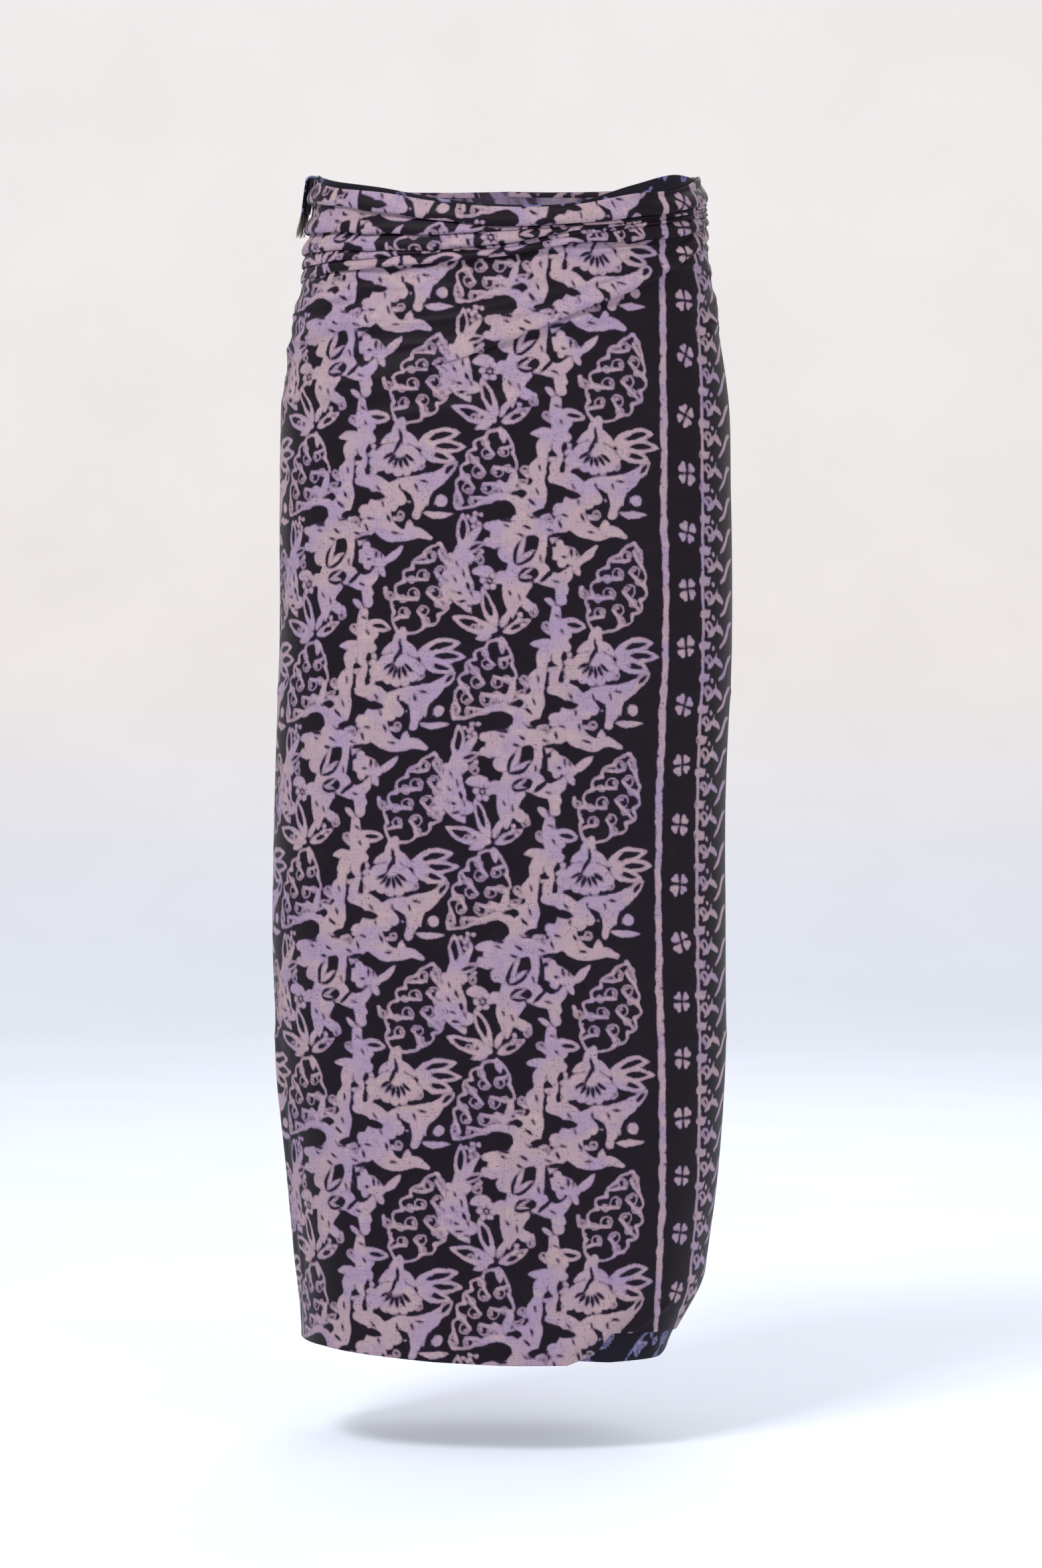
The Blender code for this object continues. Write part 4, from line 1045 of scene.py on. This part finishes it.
def thread_material(name, dark, pale):
    """Loose cotton thread, unevenly dyed along its length."""
    n = Nodes(name)
    uv = n.add("ShaderNodeUVMap", uv_map="Cloth").outputs[0]
    cloth = n.scaled(uv, (1000, 1000, 1000))
    along = n.noise(cloth, 3.5, 3.0, 0.6)
    twist = n.add("ShaderNodeTexWave", {"Vector": cloth, "Scale": 1.4, "Distortion": 1.0}, bands_direction="DIAGONAL")
    colour = n.mix(n.step(along, 0.36, 0.62), dark, pale)
    bump = n.add("ShaderNodeBump", {"Height": twist.outputs["Fac"], "Distance": 0.0001, "Strength": 0.5}).outputs[0]
    n.set(Base_Color=colour, Roughness=n.step(along, 0.3, 0.7, 0.6, 0.8), Normal=bump, Sheen_Weight=0.2)
    return n.material


TONES = (MOTIF_TAUPE, MOTIF_LILAC, MOTIF_WARM)
PRINTED = printed_cloth("printed_cloth", GROUND, TONES, OUTLINE, BLEED)
INNER = printed_cloth(
    "printed_cloth_inner", linear(18, 16, 30), (linear(140, 134, 168), linear(118, 122, 168), linear(156, 146, 166)),
    linear(84, 78, 116), linear(30, 30, 70),
)
REVERSE = printed_cloth(
    "printed_cloth_reverse", linear(48, 38, 54), (linear(150, 134, 150), linear(142, 126, 164), linear(160, 146, 150)),
    linear(104, 88, 112), linear(66, 52, 104), fade=0.06,
)
FRINGE = thread_material("fringe_thread", linear(70, 64, 66), linear(186, 180, 166))


def columns(start, end, step):
    """Even columns from a start to an end, as shares of the way round."""
    return np.linspace(start, end, max(round((end - start) / step), 2) + 1)


def turned_end(sigma):
    """Columns with a free end that rounds over to the reverse: their places and how far in they lie."""
    scale = 1 / HALF_ROUND
    turn = [(drop * scale, -WALL * share) for drop, share in RIM[::-1]]
    places = np.concatenate([sigma, [sigma[-1] - drop for drop, _ in turn]])
    sunk = np.concatenate([np.zeros_like(sigma), [share for _, share in turn]])
    return places, sunk


def cut(grid, first, last):
    """Rows first to last of a grid."""
    return Grid(*[part[first:last + 1] for part in grid])


def cloth_piece(name, grid, depth, material, node, flip=False):
    """A stretch of cloth as a piece."""
    points = place(grid.sigma, grid.height, grid.out)
    cloth = np.stack([round_length(grid), -grid.down], axis=-1)
    mesh = sheet_mesh(name, points, cloth, depth, flip)
    return show(name, mesh, material, node)


def build_front():
    """The outer turn, in four stretches from the waist down."""
    first, last = FRONT_FINE
    sigma, sunk = turned_end(np.concatenate([
        columns(RIGHT_SEAM, first, SIDE_STEP), columns(first, last, FRONT_STEP)[1:], columns(last, END_EDGE, SIDE_STEP)[1:],
    ]))
    grid, breaks = outer_grid(sigma, BODY_ROWS)
    grid = grid._replace(out=grid.out + sunk[None, :])
    depth = print_depth(grid)
    made = []
    for name, first, last in zip(
        ("cloth_front_waist", "cloth_front_upper", "cloth_front_middle", "cloth_front_lower"), [0] + breaks, breaks,
    ):
        made.append(cloth_piece(name, cut(grid, first, last), depth[first:last + 1], PRINTED, "wrap_front_outer"))
    return made


def under_share(sigma):
    """1 where the back stretch lies under the outer end, 0 where it has come out."""
    return 1 - ease((sigma - END_EDGE - CLEAR_OF_END) / RUN_OUT)


def build_back():
    """The back stretch, in two parts."""
    sigma = columns(HIDDEN_SEAM, 2 + RIGHT_SEAM, SIDE_STEP)
    grid, breaks = outer_grid(sigma, BACK_BODY_ROWS)
    under = under_share(sigma)[None, :]
    shown = Grid(grid.sigma - 2, grid.height, grid.out * (1 - under) - UNDER_END * under, grid.down)
    depth = print_depth(shown)
    first, last = breaks[1], breaks[-1]
    return [
        cloth_piece("cloth_back_upper", cut(shown, 0, first), depth[:first + 1], PRINTED, "wrap_back"),
        cloth_piece("cloth_back_lower", cut(shown, first, last), depth[first:], PRINTED, "wrap_back"),
    ]


def plain_rows(top, bottom, steps):
    """Heights from a top edge to a bottom edge, closer together where the steps are closer."""
    way = np.concatenate([[0], np.cumsum(steps)])
    return top + (bottom - top) * (way / way[-1])[:, None]


def plain_piece(name, sigma, top, bottom, out, steps, material, node, depth_of, flip=False, rim=False):
    """A plain face of the cloth between two edges."""
    height = plain_rows(line(top, sigma), hem(bottom, sigma), steps)
    outs = np.zeros_like(height) + out
    if rim:
        over = [(height[0] - drop, outs[0] - WALL * share) for drop, share in RIM]
        under = [(height[-1] + drop, outs[-1] - WALL * share) for drop, share in RIM[::-1]]
        height = np.array([h for h, _ in over] + list(height) + [h for h, _ in under])
        outs = np.array([o for _, o in over] + list(outs) + [o for _, o in under])
    grid = Grid(np.broadcast_to(sigma, height.shape), height, outs, -height)
    return cloth_piece(name, grid, depth_of(grid), material, node, flip)


def build_inner():
    """The inner turn and the reverse of every stretch."""
    fine = np.concatenate([
        columns(START_EDGE, 0.08, 0.008), columns(0.08, 0.50, INNER_STEP)[1:], columns(0.50, HIDDEN_SEAM, 0.008)[1:],
    ])
    close = [1.5] * 20 + [5.0] * 160 + [1.6] * 46
    out = -WALL - LAYER_GAP
    made = [plain_piece(
        "cloth_inner", fine, "inner_top", "inner", out, close, INNER, "wrap_front_inner",
        inner_print_depth, rim=True,
    )]
    made.append(plain_piece(
        "cloth_inner_reverse", columns(START_EDGE, HIDDEN_SEAM, 0.011), "inner_top", "inner", out - WALL, [5.0] * 180,
        REVERSE, "wrap_front_inner", inner_print_depth, flip=True,
    ))
    made.append(plain_piece(
        "cloth_front_reverse", columns(RIGHT_SEAM, END_EDGE, 0.016), "outer_top", "outer", -WALL, [8.0] * 110,
        REVERSE, "wrap_front_outer", print_depth, flip=True,
    ))
    sigma = columns(HIDDEN_SEAM - 2, RIGHT_SEAM, 0.011)
    depth = -WALL - UNDER_END * under_share(sigma + 2)[None, :]
    made.append(plain_piece(
        "cloth_back_reverse", sigma, "outer_top", "outer", depth, [5.0] * 180,
        REVERSE, "wrap_back", print_depth, flip=True,
    ))
    return made


# The cloth's first corner, hung over the waist at the right hip, as the solids have it.
FlapRow = namedtuple("FlapRow", "sigma_front sigma_back height out lean")
ARCH_RADIUS = 2.5
ARCH_OUT = 1.9
ARCH_HEIGHT = -0.85
FLAP_ROWS = [
    FlapRow(
        -0.475, -0.575,
        ARCH_HEIGHT + ARCH_RADIUS * math.sin(math.radians(lean)),
        ARCH_OUT + ARCH_RADIUS * math.cos(math.radians(lean)),
        lean,
    )
    for lean in range(150, -1, -10)
] + [
    FlapRow(-0.476, -0.575, -8.0, 5.0, 0),
    FlapRow(-0.480, -0.570, -17.0, 5.5, 0),
    FlapRow(-0.486, -0.564, -27.0, 6.0, 0),
]
FLAP_ACROSS = 48
FLAP_HANG_ROWS = 26
FLAP_RIPPLES = ((0.5, 1.5, 0.0), (0.35, 4.0, 0.8), (0.15, 9.0, 2.0))   # height in mm, times across, turn


def flap_points(rows, share, extra):
    """Points of the corner: rows by columns, off its inner face."""
    rows = np.array([list(r) for r in rows])[:, :, None]
    front, back, height, out, lean = (rows[:, k] for k in range(5))
    sigma = front + (back - front) * share[None, :]
    lean = np.radians(lean)
    ripple = sum(size * np.sin(share * 2 * math.pi * times + turn) for size, times, turn in FLAP_RIPPLES)
    lift = (ripple[None, :] + 0.7) * np.cos(lean) ** 2 * MM + extra
    height = line("outer_top", sigma) + height * MM + lift * np.sin(lean) + 0 * sigma
    return place(sigma, height, out * MM + lift * np.cos(lean)), sigma, height


def hanging_rows():
    """The corner's rows, with the hanging part divided finely."""
    arch = FLAP_ROWS[:-3]
    hang = FLAP_ROWS[-4:]
    knots = [r.height for r in hang][::-1]
    heights = np.linspace(hang[0].height, hang[-1].height, FLAP_HANG_ROWS + 1)[1:]
    return arch + [FlapRow(*[float(np.interp(h, knots, [r[k] for r in hang][::-1])) for k in range(5)]) for h in heights]


def build_corner():
    """The hanging corner as a thin closed sheet."""
    share = np.linspace(0, 1, FLAP_ACROSS + 1)
    rows = hanging_rows()
    outside, sigma, height = flap_points(rows, share, WALL)
    inside, _, _ = flap_points(rows, share, 0.0)
    middle = (outside + inside) / 2
    outside = np.concatenate([middle[:1], outside, middle[-1:]])
    inside = np.concatenate([middle[:1], inside, middle[-1:]])
    points = np.concatenate([outside, inside[:, ::-1], outside[:, :1]], axis=1)
    cloth = np.stack([sigma * HALF_ROUND, height], axis=-1)
    cloth = np.concatenate([cloth[:1], cloth, cloth[-1:]])
    cloth = np.concatenate([cloth, cloth[:, ::-1], cloth[:, :1]], axis=1)
    across, down = (cloth[..., 0] + 0.02) / FIELD_WIDE * CHART_WIDE, cloth[..., 1] / FIELD_HIGH * CHART_HIGH
    mesh = sheet_mesh("tail_corner", points, cloth, tiled(MAIN, across, down + 60, CHART_WIDE) - 1.5)
    weld(mesh)
    return show("tail_corner", mesh, INNER, "tail_flap")


def weld(mesh):
    """Joins the points of a mesh that lie on each other."""
    bm = bmesh.new()
    bm.from_mesh(mesh)
    bmesh.ops.remove_doubles(bm, verts=bm.verts, dist=1e-6)
    bmesh.ops.recalc_face_normals(bm, faces=bm.faces)
    bm.to_mesh(mesh)
    bm.free()


FRINGE_STRANDS = 130
STRAND_SIDES = 4
STRAND_RINGS = 9


def build_fringe():
    """Fine loose threads along the corner's lower edge, splayed outward and tangled."""
    rng = np.random.default_rng(21)
    root_row = FLAP_ROWS[-1]
    verts, faces, cloth = [], [], []
    for strand in range(FRINGE_STRANDS):
        share = np.array([(strand + rng.uniform(0.1, 0.9)) / FRINGE_STRANDS])
        start = rng.uniform(-5.5, 0.0)
        length = rng.uniform(12, 21)
        lift = rng.uniform(1.0, 2.9)
        sway = rng.uniform(-2.4, 2.4)
        phase, turns = rng.uniform(0, 6.28), rng.uniform(1.0, 2.6)
        radius = rng.uniform(0.22, 0.42)
        base = len(verts)
        for ring in range(STRAND_RINGS):
            t = ring / (STRAND_RINGS - 1)
            row = root_row._replace(height=root_row.height - start * 0.3 - length * t)
            wave = 0.6 * math.sin(phase + turns * 6.28 * t) * t
            middle = flap_points([row], share, (1.2 + lift * t + wave * 0.5) * MM)[0][0, 0]
            middle = middle + np.array([0, (sway * t + wave) * MM, 0])
            for side in range(STRAND_SIDES):
                angle = 2 * math.pi * side / STRAND_SIDES
                across = radius * (1 - 0.55 * t) * MM
                verts.append(middle + across * np.array([math.cos(angle), math.sin(angle), 0]))
                cloth.append(((strand * 3 + side * 0.4) * MM, -length * t * MM))
        for ring in range(STRAND_RINGS - 1):
            for side in range(STRAND_SIDES):
                a, b = base + ring * STRAND_SIDES + side, base + ring * STRAND_SIDES + (side + 1) % STRAND_SIDES
                faces.append((a, a + STRAND_SIDES, b + STRAND_SIDES, b))
        top, low = range(base, base + STRAND_SIDES), range(len(verts) - STRAND_SIDES, len(verts))
        faces += [tuple(top), tuple(low)[::-1]]
    mesh = bpy.data.meshes.new("tail_fringe_threads")
    mesh.from_pydata([tuple(v) for v in verts], [], faces)
    mesh.shade_smooth()
    corner = np.empty(len(mesh.loops), int)
    mesh.loops.foreach_get("vertex_index", corner)
    cloth = np.array(cloth)
    spread = (cloth - cloth.min(axis=0)) / (cloth.max(axis=0) - cloth.min(axis=0))
    for map_name, at in (("OFBake", spread), ("Cloth", cloth)):
        mesh.uv_layers.new(name=map_name).data.foreach_set("uv", at[corner].ravel())
    return show("tail_fringe_threads", mesh, FRINGE, "tail_fringe")


FRONT = build_front()
BACK = build_back()
LININGS = build_inner()
CORNER = build_corner()
THREADS = build_fringe()

# The room: a pale floor that sweeps up into the backdrop, soft lights, and the photograph's camera.
FLOOR_AT = -1.0
FLOOR_FROM, SWEEP_FROM, SWEEP_RADIUS, WALL_TOP, FLOOR_HALF = -9.0, 4.6, 2.0, 7.0, 9.0
ROOM_PAINTED_GLOW = 0.36           # painted light: the floor and backdrop glow by themselves, in place of lamps out of view, which also lightens the shadow on the floor


def build_room():
    """The floor and backdrop in one sheet, with painted light: cooler and darker on the floor, warmer and lighter up
    the backdrop, and a glow of its own.
    """
    turns = np.linspace(0, math.pi / 2, 24)
    path = [(FLOOR_FROM, FLOOR_AT)]
    path += [(SWEEP_FROM + SWEEP_RADIUS * math.sin(t), FLOOR_AT + SWEEP_RADIUS * (1 - math.cos(t))) for t in turns]
    path += [(SWEEP_FROM + SWEEP_RADIUS, WALL_TOP)]
    verts = [(x, y, z) for y, z in path for x in (-FLOOR_HALF, FLOOR_HALF)]
    faces = [(2 * k, 2 * k + 1, 2 * k + 3, 2 * k + 2) for k in range(len(path) - 1)]
    mesh = bpy.data.meshes.new("room")
    mesh.from_pydata(verts, [], faces)
    mesh.shade_smooth()
    n = Nodes("room_paper")
    where = n.add("ShaderNodeTexCoord").outputs["Object"]
    up = n.add("ShaderNodeSeparateXYZ", {"Vector": where}).outputs[2]
    # Painted light: the one sheet is painted cooler and slightly darker on the floor and warmer and lighter up the
    # backdrop.
    paper_and_painted_light = n.mix(n.step(up, FLOOR_AT, FLOOR_AT + 0.9), linear(224, 230, 242), linear(238, 233, 230))
    speck = n.step(n.noise(where, 0.35, 3.0), 0.3, 0.7, 0.97, 1.0)
    shade = n.add("ShaderNodeCombineColor", {0: speck, 1: speck, 2: speck}).outputs[0]
    colour = n.mix(1.0, paper_and_painted_light, shade, blend="MULTIPLY")
    # Painted light: the paper glows with its own colour, on the floor and the backdrop alike.
    n.set(Base_Color=colour, Roughness=0.9, Emission_Color=colour, Emission_Strength=ROOM_PAINTED_GLOW)
    mesh.materials.append(n.material)
    room = bpy.data.objects.new("room", mesh)
    bpy.context.scene.collection.objects.link(room)


# A soft light: its place, what it faces, its size and its power.
Lamp = namedtuple("Lamp", "name at to size power")
LAMPS = (
    Lamp("key", (-1.3, -1.9, 2.3), (0, 0, -0.40), 1.0, 74),
    Lamp("fill", (2.1, -2.2, 0.5), (0, 0, -0.45), 2.0, 20),
    Lamp("back", (0.8, 2.6, 1.9), (0, 0, -0.45), 2.2, 30),
)


def build_lights():
    """The lamps and the pale surroundings."""
    for lamp in LAMPS:
        light = bpy.data.lights.new(lamp.name, "AREA")
        light.size = lamp.size
        light.energy = lamp.power
        holder = bpy.data.objects.new(lamp.name, light)
        bpy.context.scene.collection.objects.link(holder)
        holder.location = lamp.at
        aim = Vector(lamp.to) - Vector(lamp.at)
        holder.rotation_euler = aim.to_track_quat("-Z", "Y").to_euler()
    world = bpy.data.worlds.new("surroundings")
    world.use_nodes = True
    world.node_tree.nodes["Background"].inputs["Color"].default_value = (1.0, 0.985, 0.98, 1)
    world.node_tree.nodes["Background"].inputs["Strength"].default_value = 0.46
    bpy.context.scene.world = world
    bpy.context.scene.view_settings.view_transform = "Standard"


def build_camera():
    """The photograph's camera, level and straight on."""
    camera = bpy.data.cameras.new("camera")
    camera.lens = 85.6
    camera.sensor_width = 36
    holder = bpy.data.objects.new("camera", camera)
    holder.location = (0.013, -3.0, -0.478)
    holder.rotation_euler = (math.pi / 2, 0, 0)
    bpy.context.scene.collection.objects.link(holder)
    bpy.context.scene.camera = holder


build_room()
build_lights()
build_camera()
